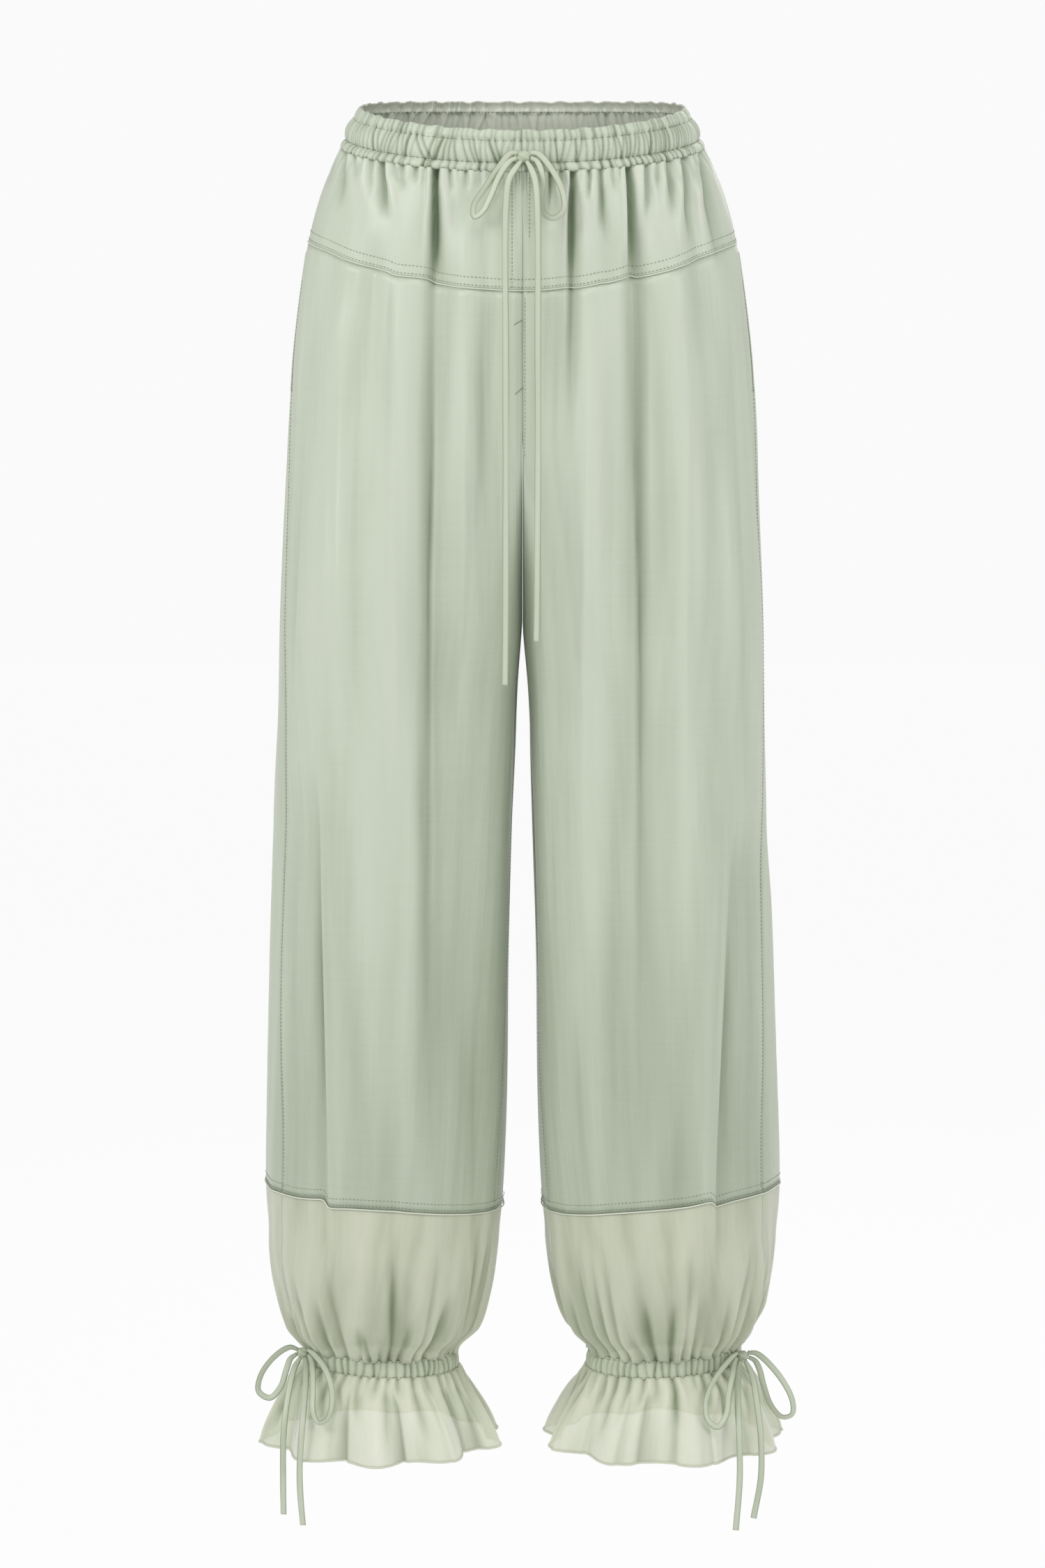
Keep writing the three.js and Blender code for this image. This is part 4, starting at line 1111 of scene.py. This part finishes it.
@dataclass
class Studio:
    """Camera, lights and paper, at the photograph's viewing angle."""

    distance: float = 3.5
    aim: tuple[float, float, float] = (0.0, 0.0, -0.5)
    lens: float = 104.75
    room_light: float = 0.41
    seen_white: float = 0.955

    def build(self) -> None:
        """Set up the camera, the lights, the world and the paper."""
        camera = bpy.data.cameras.new("camera")
        camera.lens = self.lens
        camera.sensor_width = 36.0
        camera.clip_end = 30.0
        view = bpy.data.objects.new("camera", camera)
        view.location = (0.0, -self.distance, 0.0)
        view.rotation_euler = (Vector(self.aim) - view.location).to_track_quat("-Z", "Y").to_euler()
        bpy.context.scene.collection.objects.link(view)
        bpy.context.scene.camera = view
        for name, place, size, power in LIGHTS:
            self.light(name, place, size, power)
        world = bpy.data.worlds.new("studio")
        world.use_nodes = True
        tree = world.node_tree
        tree.nodes.clear()
        seen = add(tree, "ShaderNodeLightPath").outputs["Is Camera Ray"]
        room = add(tree, "ShaderNodeBackground", None, Color=linear("#ffffff"), Strength=self.room_light)
        sheet = add(tree, "ShaderNodeBackground", None, Color=linear("#ffffff"), Strength=self.seen_white)
        both = add(tree, "ShaderNodeMixShader", None, i0=seen, i1=room.outputs[0], i2=sheet.outputs[0])
        add(tree, "ShaderNodeOutputWorld", None, Surface=both.outputs[0])
        bpy.context.scene.world = world
        bpy.context.scene.view_settings.view_transform = "Standard"
        self.paper(BackdropFinish().make())

    def light(self, name: str, place: tuple[float, float, float], size: float, power: float) -> None:
        """Add a soft square light that faces the pants."""
        lamp = bpy.data.lights.new(name, "AREA")
        lamp.size = size
        lamp.energy = power
        obj = bpy.data.objects.new(name, lamp)
        obj.location = place
        obj.rotation_euler = (Vector(self.aim) - obj.location).to_track_quat("-Z", "Y").to_euler()
        bpy.context.scene.collection.objects.link(obj)

    def paper(self, material: bpy.types.Material) -> None:
        """Lay the pale floor below the pants."""
        floor = bpy.data.meshes.new("paper")
        reach, level = 9.0, -1.45
        corners = [(x * reach, y * reach, level) for x, y in ((-1, -1), (1, -1), (1, 1), (-1, 1))]
        floor.from_pydata(corners, [], [(0, 1, 2, 3)])
        obj = bpy.data.objects.new("paper", floor)
        floor.materials.append(material)
        bpy.context.scene.collection.objects.link(obj)


@dataclass
class Ties:
    """The drawstring's free ends: flat rouleau tapes, tied in a bow at the waist and at each ankle."""

    material: bpy.types.Material
    width: float = 0.0048
    thickness: float = 0.0017
    knots: dict = field(default_factory=lambda: {
        "waist_knot": ((0.001, -0.100, -0.0176), (0.0052, 0.0038, 0.0046)),
        "ankle_knot_left": ((-0.1722, -0.0204, -0.9474), (0.005, 0.0036, 0.0044)),
        "ankle_knot_right": ((0.1727, -0.0206, -0.9499), (0.005, 0.0036, 0.0044)),
    })

    def build(self) -> None:
        for name, (place, size) in self.knots.items():
            self.knot(name, Vector(place), size)
        for name, route in TIE_ROUTES.items():
            self.tape(name, route)

    def knot(self, name: str, place: Vector, size: tuple[float, float, float]) -> None:
        """Build a small tight knot, its turns showing as slanted ridges."""
        rings, turns = 25, 40
        lat = np.linspace(-np.pi / 2, np.pi / 2, rings)[:, None]
        lon = (2 * np.pi * np.arange(turns) / turns)[None, :]
        wave = np.abs(np.sin(1.5 * lon + 2.4 * lat + 0.8)) ** 0.6
        radius = 0.80 + 0.24 * wave * np.cos(lat) ** 0.5
        shape = np.stack([radius * np.cos(lat) * np.cos(lon), radius * np.cos(lat) * np.sin(lon),
                          radius * np.sin(lat) + 0 * lon], axis=-1)
        points = shape.reshape(-1, 3) * np.array(size) + np.array(place)
        mesh = bpy.data.meshes.new(name)
        mesh.from_pydata(points.tolist(), [], ring_quads(rings, turns).tolist())
        set_cloth(mesh, np.stack([lon + 0 * lat, lat + 0 * lon], axis=-1) * 0.004, np.zeros(rings * turns))
        work = bmesh.new()
        work.from_mesh(mesh)
        bmesh.ops.remove_doubles(work, verts=work.verts, dist=1e-6)
        bmesh.ops.recalc_face_normals(work, faces=work.faces)
        work.to_mesh(mesh)
        work.free()
        obj = link_mesh("tied_" + name, mesh, self.material)
        declare(obj, Slot.TIE, name)

    @staticmethod
    def pinched(distance: np.ndarray) -> np.ndarray:
        """Give the share of its width that a tape keeps at a distance from the knot, in metres."""
        return 1 - 0.34 * np.exp(-((distance / 0.006) ** 2))

    def tape(self, name: str, route: Sequence[tuple[float, float, float]]) -> None:
        path = smooth_path(route, 0.0016)
        count = len(path)
        share = np.linspace(0, 1, count)
        loop = "loop" in name
        lengths = float(np.sum(np.linalg.norm(np.diff(path, axis=0), axis=1)))
        side = np.tile(np.array([1.0, 0.0, 0.0]), (count, 1))
        if loop:
            run = np.gradient(path, axis=0)
            run /= np.linalg.norm(run, axis=1, keepdims=True)
            side = np.cross(run, np.array([0.0, -1.0, 0.0]))
            side = side + 0.55 * np.array([0.0, -1.0, 0.0]) * np.sin(np.pi * share)[:, None]
        else:
            sway = 0.5 * np.sin(share * 9.0 + len(name))
            side = side + sway[:, None] * np.array([0.0, 0.6, 0.0])
        half_width = np.full(count, self.width / 2)
        half_thick = np.full(count, self.thickness / 2)
        pinch = self.pinched(share * lengths)
        if loop:
            pinch = pinch * self.pinched((1 - share) * lengths)
        obj = swept_tube("tie_" + name, path, half_width * pinch, half_thick * (1.4 - 0.4 * pinch),
                         14, side, self.material)
        declare(obj, Slot.TIE, name)


@dataclass
class Waistband:
    """The gathered band: a frill, an elastic channel and a drawstring channel between stitch rows."""

    satin: bpy.types.Material
    thread: LineWork
    columns: int = 900
    wall: float = 2.0
    frill: float = 8.0
    elastic: float = 24.0

    def creases(self) -> list[tuple[float, float, float]]:
        """List the creases of the elastic as turn, slant and strength."""
        outer, square = 134.0, 2.08
        rows = []
        for x, slant, strength in ELASTIC_FRONT:
            turn = float(np.arcsin(np.sign(x) * min(1.0, (abs(x) / outer) ** (square / 2))))
            rows.append((turn, slant / WAIST_RADIUS, strength))
        rows.sort()
        chance = np.random.default_rng(41)
        for (turn, slant, _), (following, _, _) in zip(rows[:-1], rows[1:]):
            gap = following - turn
            if gap > 0.045:
                at = turn + gap * float(chance.uniform(0.4, 0.6))
                turned = slant + float(chance.uniform(-0.02, 0.02))
                rows.append((at, turned, float(chance.uniform(0.45, 0.95))))
        turn = 1.33
        while turn < 2 * np.pi - 1.33:
            rows.append((turn, float(chance.uniform(-0.05, 0.05)), float(chance.uniform(0.6, 1.5))))
            turn += float(chance.uniform(0.028, 0.058))
        return rows

    def puff(self, down: np.ndarray) -> np.ndarray:
        """Give how far the band puffs out at a distance down from its top edge."""
        frill = mix(-1.9, -1.6, down / self.frill) + 0.8 * np.sin(np.pi * np.clip(down / self.frill, 0, 1))
        middle = np.clip((down - self.frill) / (self.elastic - self.frill), 0, 1)
        elastic = -1.5 + 2.9 * np.sin(np.pi * middle) ** 0.55
        low = np.clip((down - self.elastic) / (BAND_HEIGHT - self.elastic), 0, 1)
        tunnel = -1.5 + 2.7 * np.sin(np.pi * low) ** 0.6 + 0.7 * low
        return np.where(down < self.frill, frill, np.where(down < self.elastic, elastic, tunnel))

    def crumple(self, turn: np.ndarray, down: np.ndarray) -> np.ndarray:
        """Give the creases of the band at turns round the waist and distances down."""
        total = np.zeros(np.broadcast(turn, down).shape)
        chance = np.random.default_rng(17)
        for at, slant, strength in self.creases():
            middle = (down - self.frill) / (self.elastic - self.frill)
            gap = wrapped(turn - at - slant * (0.5 - middle), 2 * np.pi)
            width = 0.62 + 0.26 * strength
            inside = smooth(-0.15, 0.05, middle) * (1 - smooth(0.97, 1.12, middle))
            total -= 2.0 * strength * inside * pleat(gap * WAIST_RADIUS, width)
            frill_at = at + slant * 0.5 + float(chance.uniform(-0.015, 0.015))
            gap = wrapped(turn - frill_at, 2 * np.pi)
            in_frill = 1 - smooth(-0.1, 0.15, middle)
            total -= float(chance.uniform(0.6, 1.7)) * in_frill * pleat(gap * WAIST_RADIUS, 0.85)
            low_at = at - slant * 0.5 + float(chance.uniform(-0.02, 0.02))
            gap = wrapped(turn - low_at, 2 * np.pi)
            in_low = smooth(0.95, 1.08, middle)
            total -= float(chance.uniform(0.9, 2.2)) * in_low * pleat(gap * WAIST_RADIUS, 0.85)
        return total

    def ring(self, turn: np.ndarray, down: np.ndarray, out: np.ndarray) -> np.ndarray:
        """Place points of the band at turns from centre front, distances down and distances out."""
        z = band_top(np.cos(turn)) - down
        outer, front, back, square = (along(SECTIONS, z, k) for k in (OUTER, FRONT, BACK, SQUARE))
        exponent = 2 / square
        reach = np.where(np.cos(turn) > 0, front, back)
        x = outer * signed_power(np.sin(turn), exponent)
        y = -reach * signed_power(np.cos(turn), exponent)
        normal = np.stack([signed_power(np.sin(turn), 2 - exponent) / outer,
                           -signed_power(np.cos(turn), 2 - exponent) / reach, 0 * x], axis=-1)
        normal /= np.linalg.norm(normal, axis=-1, keepdims=True)
        return np.stack([x, y, z], axis=-1) + normal * out[..., None]

    @staticmethod
    def edge_wave(turn: np.ndarray, down: np.ndarray) -> np.ndarray:
        """Give the rise and fall of the frill's top edge, which fades out below it."""
        wave = 0.45 * np.sin(37 * turn + 1.1) + 0.3 * np.sin(61 * turn)
        return wave * (1 - smooth(0, 7, down))

    def surface(self, turn: np.ndarray, down: np.ndarray, lift: float = 0.0) -> np.ndarray:
        """Place points on the finished face of the band."""
        out = self.puff(down) + self.crumple(turn, down) + lift
        points = self.ring(turn, down, out)
        points[..., 2] += self.edge_wave(turn, down)
        return points

    def lining(self, turn: np.ndarray, down: np.ndarray, lift: float = 0.0) -> np.ndarray:
        """Place points on the inner face of the band, a little calmer than the outer one."""
        middle = np.clip((down - self.frill) / (self.elastic - self.frill), 0, 1)
        hollow = -0.9 * np.sin(np.pi * middle) ** 0.6
        creased = self.crumple(turn, down)
        depth = 2.0 - 0.8 * creased * np.sin(np.pi * np.clip(down / BAND_HEIGHT, 0, 1)) ** 0.3
        frill = 1 - smooth(0, 7, down)
        out = mix(np.minimum(-self.wall, self.puff(down) + creased - 0.8) + hollow - 0.5 * depth + 1.0,
                  self.puff(down) + creased - 1.0, frill)
        points = self.ring(turn, down, out - lift)
        points[..., 2] += self.edge_wave(turn, down)
        return points

    def build(self) -> None:
        """Build the band and its stitch rows."""
        turn = (2 * np.pi * np.arange(self.columns) / self.columns)[None, :]
        down = np.array([*np.linspace(0, self.frill, 7)[:-1],
                         *np.linspace(self.frill, self.elastic, 12)[:-1],
                         *np.linspace(self.elastic, BAND_HEIGHT, 9)])[:, None]
        turn, down = np.broadcast_arrays(turn, down)
        points = np.vstack([self.surface(turn, down), self.lining(turn, down)[::-1]])
        creased = self.crumple(turn, down)
        # Painted shade in the band's creases, and painted light over its inside, which lies in shade
        fold_shading = np.clip(np.vstack([creased * 0.24, creased[::-1] * 0.2 + 0.42]), -0.5, 0.52)
        uv = np.stack([turn * (WAIST_RADIUS * MM), -down * MM], axis=-1)
        band = ClothGrid(points, np.vstack([uv, uv[::-1] + 0.3]), fold_shading, closed=True, flip=False, tube=True)
        obj = band.build("gathered_waistband", self.satin)
        declare(obj, Slot.SATIN, "waistband")
        count = 700
        ring = np.linspace(0, 2 * np.pi, count, endpoint=False)
        rows = []
        for face, level in ((self.surface, self.frill), (self.surface, self.elastic - 0.2),
                            (self.surface, BAND_HEIGHT - 0.6), (self.lining, self.frill),
                            (self.lining, self.elastic)):
            rows.append((face(ring, np.full(count, level), 0.12), True))
        stitched = self.thread.lay("waistband_stitches", rows, Pitch=0.0034, Length=0.0024, Width=0.0007)
        declare(stitched, Slot.SATIN)


def seam_row(half: int, start: float, end: float, height: Callable, count: int, lift: float,
             above: float = 0.0) -> np.ndarray:
    """Place a line that follows a level seam on the finished cloth.

    Args:
        half: The half.
        start: Share of the way round where the line starts.
        end: Share where it ends.
        height: Gives the seam's height at each share.
        count: Number of points.
        lift: Distance out of the cloth in millimetres.
        above: Distance above the seam in millimetres.

    Returns:
        The line's points in millimetres.
    """
    t = np.linspace(start, end, count)
    z = height(half, t) + above
    point = cloth_point(half, t, z)
    return point + outward(plain_point, half, t, z) * lift


@dataclass
class Panel:
    """One cut panel of one half: its grid, the seams beside it and its flat size."""

    name: str
    node: str
    half: int
    face: int
    columns: int
    rows: int
    flat: tuple[float, float]
    area: float
    top: Callable
    bottom: Callable
    held: str = "hung"
    thickness: float = 0.9

    def edges(self, z: np.ndarray) -> tuple[np.ndarray, np.ndarray]:
        """Give the shares where the panel starts and ends at heights."""
        side, inside = along(SEAM_LINES, z, SIDE), np.maximum(0, along(SEAM_LINES, z, INSIDE))
        return (inside, side) if self.face < 0 else (side, 1 + inside)

    def tone(self, t: np.ndarray, z: np.ndarray, plain: np.ndarray, normal: np.ndarray,
             slot: Slot) -> np.ndarray:
        """Give the fold attribute: painted shade in troughs, painted light on ridges, and painted shade
        that deepens towards the hem.

        Args:
            t: Share of the way round.
            z: Heights in millimetres.
            plain: Plain points.
            normal: The direction that the cloth faces at each point.
            slot: The cloth's slot.

        Returns:
            The tone at each point, below zero where it is darker.
        """
        # Painted shade in creases, troughs and the sheer's gathers, painted light on ridges, by how deep
        # each fold is
        sharp = fold_rise(FINE_FOLDS, self.half, plain, normal, sharp=True)
        sharp = sharp + band_creases(self.half, t, plain, normal)
        wide = fold_rise(LARGE_FOLDS, self.half, plain, normal) + 2 * side_rise(self.half, t, z)
        # Painted shade, darker towards the bottom: the satin's down to its hem, the sheer's down to the
        # casing
        if slot is Slot.SATIN:
            hem = 0.13 * smooth(-330, -815, z)
        else:
            hem = 0.10 * smooth(-850, -930, z)
            sharp = sharp + np.minimum(0, drawn_gathers(self.half, t, z))
        below_yoke = smooth(-80, -150, z)
        sharp_per_mm = mix(0.11, 0.05 if slot is Slot.SATIN else 0.095, below_yoke)
        wide_per_mm = mix(0.006, 0.014, below_yoke)
        return np.clip(sharp * sharp_per_mm + wide * wide_per_mm, -0.44, 0.2) - hem

    def build(self, material: bpy.types.Material, slot: Slot) -> bpy.types.Object:
        share = np.linspace(0, 1, self.rows)[:, None]
        place = np.linspace(0, 1, self.columns)[None, :]
        guess = mix(self.top(self.half, np.full(1, 0.3)), self.bottom(self.half, np.full(1, 0.3)), share)
        start, end = self.edges(guess)
        t = mix(start, end, place)
        z = mix(self.top(self.half, t), self.bottom(self.half, t), share)
        plain = plain_point(self.half, t, z)
        normal = outward(plain_point, self.half, t, z)
        point = cloth_point(self.half, t, z)
        reach = way_round(z)
        centre = 0.25 + 0.25 * leg_share(z)
        at_inside, at_side = (np.abs(t - start), np.abs(end - t))[::1 if self.face < 0 else -1]
        groove = seam_groove(at_side * reach, 0.6, 1.5) + seam_groove(at_inside * reach, centre, 1.5)
        level = np.minimum(np.abs(z - self.top(self.half, t)), np.abs(z - self.bottom(self.half, t)))
        groove = groove + seam_groove(level, 0.15, 0.9)
        point = point + normal * groove[..., None]
        # The two halves meet at the middle, so that no light shows through the seam
        meet = HALF_GAP * np.exp(-at_inside * reach)
        point[..., 0] = self.half * np.maximum(CLOSED_GAP, self.half * point[..., 0] - meet)
        fold_shading = self.tone(t, z, plain, normal, slot)
        width = np.linalg.norm(np.diff(plain[self.rows // 2], axis=0), axis=1).sum()
        uv = np.stack([place * width * MM + 0 * z, z * MM], axis=-1)
        grid = ClothGrid(point, uv, fold_shading, closed=False, flip=self.half < 0, thickness=self.thickness)
        obj = grid.build(self.name, material)
        declare(obj, slot, self.node)
        return obj


SIDES = ((Half.LEFT, "left"), (Half.RIGHT, "right"))
FACES = ((Face.FRONT, "front"), (Face.BACK, "back"))


@dataclass
class Yoke:
    """The four hip panels, gathered under the waistband, with a double topstitched seam below."""

    satin: bpy.types.Material
    thread: LineWork
    piping: LineWork
    columns: tuple[int, int] = (220, 130)
    rows: int = 46

    def build(self) -> None:
        """Build the panels, the piped seam and its stitch rows."""
        for side, label in SIDES:
            for face, place in FACES:
                Panel(name=f"hip_panel_{place}_{label}", node=f"yoke_{place}_{label}", half=side.value,
                      face=face.value, columns=self.columns[0 if face is Face.FRONT else 1], rows=self.rows,
                      flat=(0.26, 0.092), area=0.0215 if face is Face.FRONT else 0.0235, held="gathered",
                      top=lambda half, t: band_top(forwardness(t)) - BAND_HEIGHT + 0.9,
                      bottom=yoke_seam).build(self.satin, Slot.SATIN)
        rows, ridges = [], []
        for side, _ in SIDES:
            for above in (2.4, 8.2):
                rows.append((seam_row(side.value, 0.004, 0.996, yoke_seam, 420, 0.1, above), False))
            ridges.append((seam_row(side.value, 0.0, 1.0, yoke_seam, 420, 0.25), False))
        stitches = self.thread.lay("yoke_stitches", rows, **SEAM_STITCH)
        declare(stitches, Slot.SATIN)
        declare(self.piping.lay("yoke_piping", ridges, Radius=PIPING_RADIUS, Spacing=0.0022), Slot.SATIN)


@dataclass
class SatinLegs:
    """The four satin leg panels from yoke to hem, with outseam, inseam and centre seams."""

    satin: bpy.types.Material
    thread: LineWork
    piping: LineWork
    turned: LineWork
    columns: tuple[int, int] = (200, 124)
    rows: tuple[int, int] = (98, 78)

    def build(self) -> None:
        """Build the panels, the seam piping at the hem and the stitch rows."""
        for side, label in SIDES:
            for face, place in FACES:
                front = face is Face.FRONT
                Panel(name=f"satin_leg_{place}_{label}", node=f"leg_{place}_{label}", half=side.value,
                      face=face.value, columns=self.columns[0 if front else 1],
                      rows=self.rows[0 if front else 1],
                      flat=(0.27, 0.75) if front else (0.39, 0.77), area=0.182 if front else 0.248,
                      top=yoke_seam, bottom=satin_seam).build(self.satin, Slot.SATIN)
        rows, ridges = [], []
        for side, _ in SIDES:
            for above in (2.6, 7.6):
                rows.append((seam_row(side.value, 0.0, 0.9985, satin_seam, 560, 0.1, above), True))
            ridges.append((seam_row(side.value, 0.0, 0.9985, satin_seam, 560, 0.55), True))
        rows += self.long_rows()
        stitches = self.thread.lay("leg_stitches", rows, **SEAM_STITCH)
        declare(stitches, Slot.SATIN)
        declare(self.turned.lay("hem_piping", ridges, Radius=PIPING_RADIUS, Spacing=0.0024), Slot.SATIN)
        declare(self.thread.lay("bar_tacks", self.bar_tacks(), Pitch=0.0007, Length=0.0011, Width=0.0008),
                Slot.SATIN)
        lips = [(self.on_cloth(side.value, along(SEAM_LINES, z, SIDE) - 0.001, z), False)
                for side, _ in SIDES for z in (np.linspace(-90, -194, 60),)]
        declare(self.piping.lay("pocket_lips", lips, Radius=PIPING_RADIUS, Spacing=0.0024), Slot.SATIN)

    def long_rows(self) -> list[tuple[np.ndarray, bool]]:
        """Place the rows that run down the cloth: the false fly, centre front, outseams and inseams."""
        lines = []
        for half, x, top, bottom in ((-1, 7.7, -34, -113), (1, 5.2, -34, -76), (1, 1.8, -122, -238)):
            z = np.linspace(top, bottom, 60)
            lines.append((self.on_cloth(half, self.share_at(half, x, z), z), False))
        for side, _ in SIDES:
            z = np.linspace(-112, -806, 300)
            lines.append((self.on_cloth(side.value, along(SEAM_LINES, z, SIDE) - 0.0042, z), False))
            z = np.linspace(-500, -822, 150)
            lines.append((self.on_cloth(side.value, along(SEAM_LINES, z, INSIDE) + 0.0042, z), False))
        return lines

    def bar_tacks(self) -> list[tuple[np.ndarray, bool]]:
        """Place the short dense rows that close the fly and the pocket mouths."""
        marks = []
        for half, x, z, slope in ((-1, 3.4, -139.5, -1.6), (-1, 2.6, -190, -2.2)):
            across = x + np.linspace(-2.6, 2.6, 8)
            level = z + np.linspace(-slope, slope, 8)
            marks.append((self.on_cloth(half, self.share_at(half, across, level), level), False))
        for side, _ in SIDES:
            level = np.full(8, -194.5)
            t = along(SEAM_LINES, level, SIDE) + np.linspace(-0.010, 0.0, 8)
            marks.append((self.on_cloth(side.value, t, level), False))
        return marks

    @staticmethod
    def share_at(half: int, x: np.ndarray, z: np.ndarray) -> np.ndarray:
        """Find the share of the way round a half where the front lies at a distance from the middle."""
        t = np.linspace(0, 0.49, 400)
        return np.array([np.interp(at, np.abs(plain_point(half, t, np.full(400, level))[:, 0]), t)
                         for at, level in np.broadcast(x, z)])

    @staticmethod
    def on_cloth(half: int, t: np.ndarray, z: np.ndarray) -> np.ndarray:
        """Place points just proud of the finished cloth."""
        return cloth_point(half, t, z) + outward(plain_point, half, t, z) * 0.1


@dataclass
class SheerPanels:
    """The four sheer panels that balloon over the ankle and gather into the casing."""

    sheer: bpy.types.Material
    columns: int = 180
    rows: int = 54

    def build(self) -> None:
        """Build the panels."""
        for side, label in SIDES:
            for face, place in FACES:
                Panel(name=f"sheer_panel_{place}_{label}", node=f"sheer_{place}_{label}", half=side.value,
                      face=face.value, columns=self.columns, rows=self.rows,
                      flat=(0.27, 0.148) if face is Face.FRONT else (0.4, 0.15),
                      area=0.035 if face is Face.FRONT else 0.055,
                      held="gathered", thickness=0.6, top=satin_seam,
                      bottom=lambda half, t: casing_top(t) - 0.6).build(self.sheer, Slot.SHEER)


@dataclass
class AnkleCasings:
    """The two narrow satin casings, puckered by the tie inside them."""

    satin: bpy.types.Material
    thread: LineWork
    columns: int = 400
    rows: int = 16

    def pucker(self, half: int, t: np.ndarray, down: np.ndarray) -> np.ndarray:
        """Give the uneven puckers round a casing."""
        share = down / CASING_HEIGHT
        chance = np.random.default_rng(5 if half < 0 else 8)
        pucker = np.zeros(np.broadcast(t, down).shape)
        at = 0.0
        while at < 1:
            strength = float(chance.uniform(1.0, 2.4))
            lean = float(chance.uniform(-0.006, 0.006))
            gap = wrapped(t - at - lean * (share - 0.5))
            pucker -= strength * pleat(gap * 300, 0.85)
            at += float(chance.uniform(0.012, 0.021))
        return pucker

    def surface(self, half: int, t: np.ndarray, down: np.ndarray, lift: float = 0.0) -> np.ndarray:
        """Place points on the face of a casing."""
        z = casing_top(t) - down
        share = down / CASING_HEIGHT
        puff = 2.7 * np.sin(np.pi * np.clip(share, 0, 1)) ** 0.6
        pucker = self.pucker(half, t, down)
        point = plain_point(half, t, z)
        return point + outward(plain_point, half, t, z) * (puff + pucker + 0.1 + lift)[..., None]

    def build(self) -> None:
        """Build both casings and their stitch rows."""
        rows = []
        for side, label in SIDES:
            t = (np.arange(self.columns) / self.columns)[None, :]
            down = np.linspace(-0.8, CASING_HEIGHT + 0.8, self.rows)[:, None]
            t, down = np.broadcast_arrays(t, down)
            point = self.surface(side.value, t, down)
            # Painted shade deep in the puckers
            fold_shading = np.clip(self.pucker(side.value, t, down) * 0.24, -0.55, 0)
            uv = np.stack([t * 0.3, -down * MM], axis=-1)
            grid = ClothGrid(point, uv, fold_shading, closed=True, flip=side.value < 0, thickness=1.5)
            obj = grid.build(f"gathered_casing_{label}", self.satin)
            declare(obj, Slot.SATIN, f"ankle_casing_{label}")
            count = 420
            around = np.linspace(0, 1, count, endpoint=False)
            for level in (0.5, CASING_HEIGHT - 0.5):
                rows.append((self.surface(side.value, around, np.full(count, level), 0.15), True))
        stitches = self.thread.lay("casing_stitches", rows, Pitch=0.0032, Length=0.002, Width=0.0005)
        declare(stitches, Slot.SATIN)


@dataclass
class Flounces:
    """The two sheer flounces below the casings, each with a rolled hem."""

    sheer: bpy.types.Material
    hem: LineWork
    columns: int = 420
    rows: int = 30

    def build(self) -> None:
        """Build both flounces and their rolled hems."""
        for side, label in SIDES:
            t = (np.arange(self.columns) / self.columns)[None, :]
            share = np.linspace(0, 1, self.rows)[:, None]
            z = mix(casing_top(t) - CASING_HEIGHT + 0.6, FLOUNCE_END, share)
            t = t + 0 * z
            plain = plain_point(side.value, t, z)
            normal = outward(plain_point, side.value, t, z)
            point = cloth_point(side.value, t, z)
            rise = np.sum((point - plain) * normal, axis=-1)
            sharp = drawn_gathers(side.value, t, z) + 0.8 * knife_folds(side.value, t, z)
            # Painted shade in the gathers and folds, painted light on the raised waves
            fold_shading = np.clip(rise * 0.014 + sharp * 0.11, -0.55, 0.2)
            uv = np.stack([t * 0.6, z * MM], axis=-1)
            grid = ClothGrid(point, uv, fold_shading, closed=True, flip=side.value < 0, thickness=0.6)
            obj = grid.build(f"ankle_flounce_{label}", self.sheer)
            declare(obj, Slot.SHEER, f"flounce_{label}")
            edge = self.hem.lay(f"rolled_hem_{label}", [(point[-1] + normal[-1] * -0.3, True)],
                                Radius=0.0011, Spacing=0.002)
            declare(edge, Slot.SHEER)


def main() -> None:
    """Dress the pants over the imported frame."""
    logging.basicConfig(level=logging.INFO, format="%(message)s")
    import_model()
    Studio().build()
    # The panels' satin: pale sage, with painted highlight in its warp streaks and painted green-grey shade
    # in its troughs
    satin = SatinFinish("washed_satin", "#dcded2", "#c4ccba", "#839277").make()
    # The ties' satin, cut narrow and rolled: a shade deeper in colour, with painted shade along its rolled
    # edges
    tie_satin = SatinFinish("rouleau_satin", "#dce0d2", "#bac3ac", "#7f8e75", roughness=0.42).make()
    # The seam piping's satin: a lighter copy of the panels' satin with its shade stop raised, painted light
    # against the shade beside the seam
    piping_satin_painted_light = SatinFinish("piping_satin_painted_light", "#dcdfd2", "#ccd2c2", "#b3bca6").make()
    # The hem piping's satin: a lighter copy of the satin, painted light so that the piping shows a thin
    # light line though its underside lies in shade
    hem_highlight_satin = SatinFinish("hem_piping_highlight_satin", "#e2e4d8", "#d3d8c8", "#bbc3ae").make()
    # The casings' satin: crowded by the elastic, with painted green shade deep in its puckers
    casing_satin = SatinFinish("casing_satin", "#dfe2d2", "#c5ccb6", "#87957a").make()
    sheer = SheerFinish().make()
    thread = LineWork(stitch_tree(), ThreadFinish().make())
    edges = cord_edge_tree()
    Ties(tie_satin).build()
    Waistband(satin, thread).build()
    piping = LineWork(edges, piping_satin_painted_light)
    Yoke(satin, thread, piping).build()
    SatinLegs(satin, thread, piping, LineWork(edges, hem_highlight_satin)).build()
    SheerPanels(sheer).build()
    AnkleCasings(casing_satin, thread).build()
    Flounces(sheer, LineWork(edges, sheer)).build()


if __name__ == "__main__":
    main()
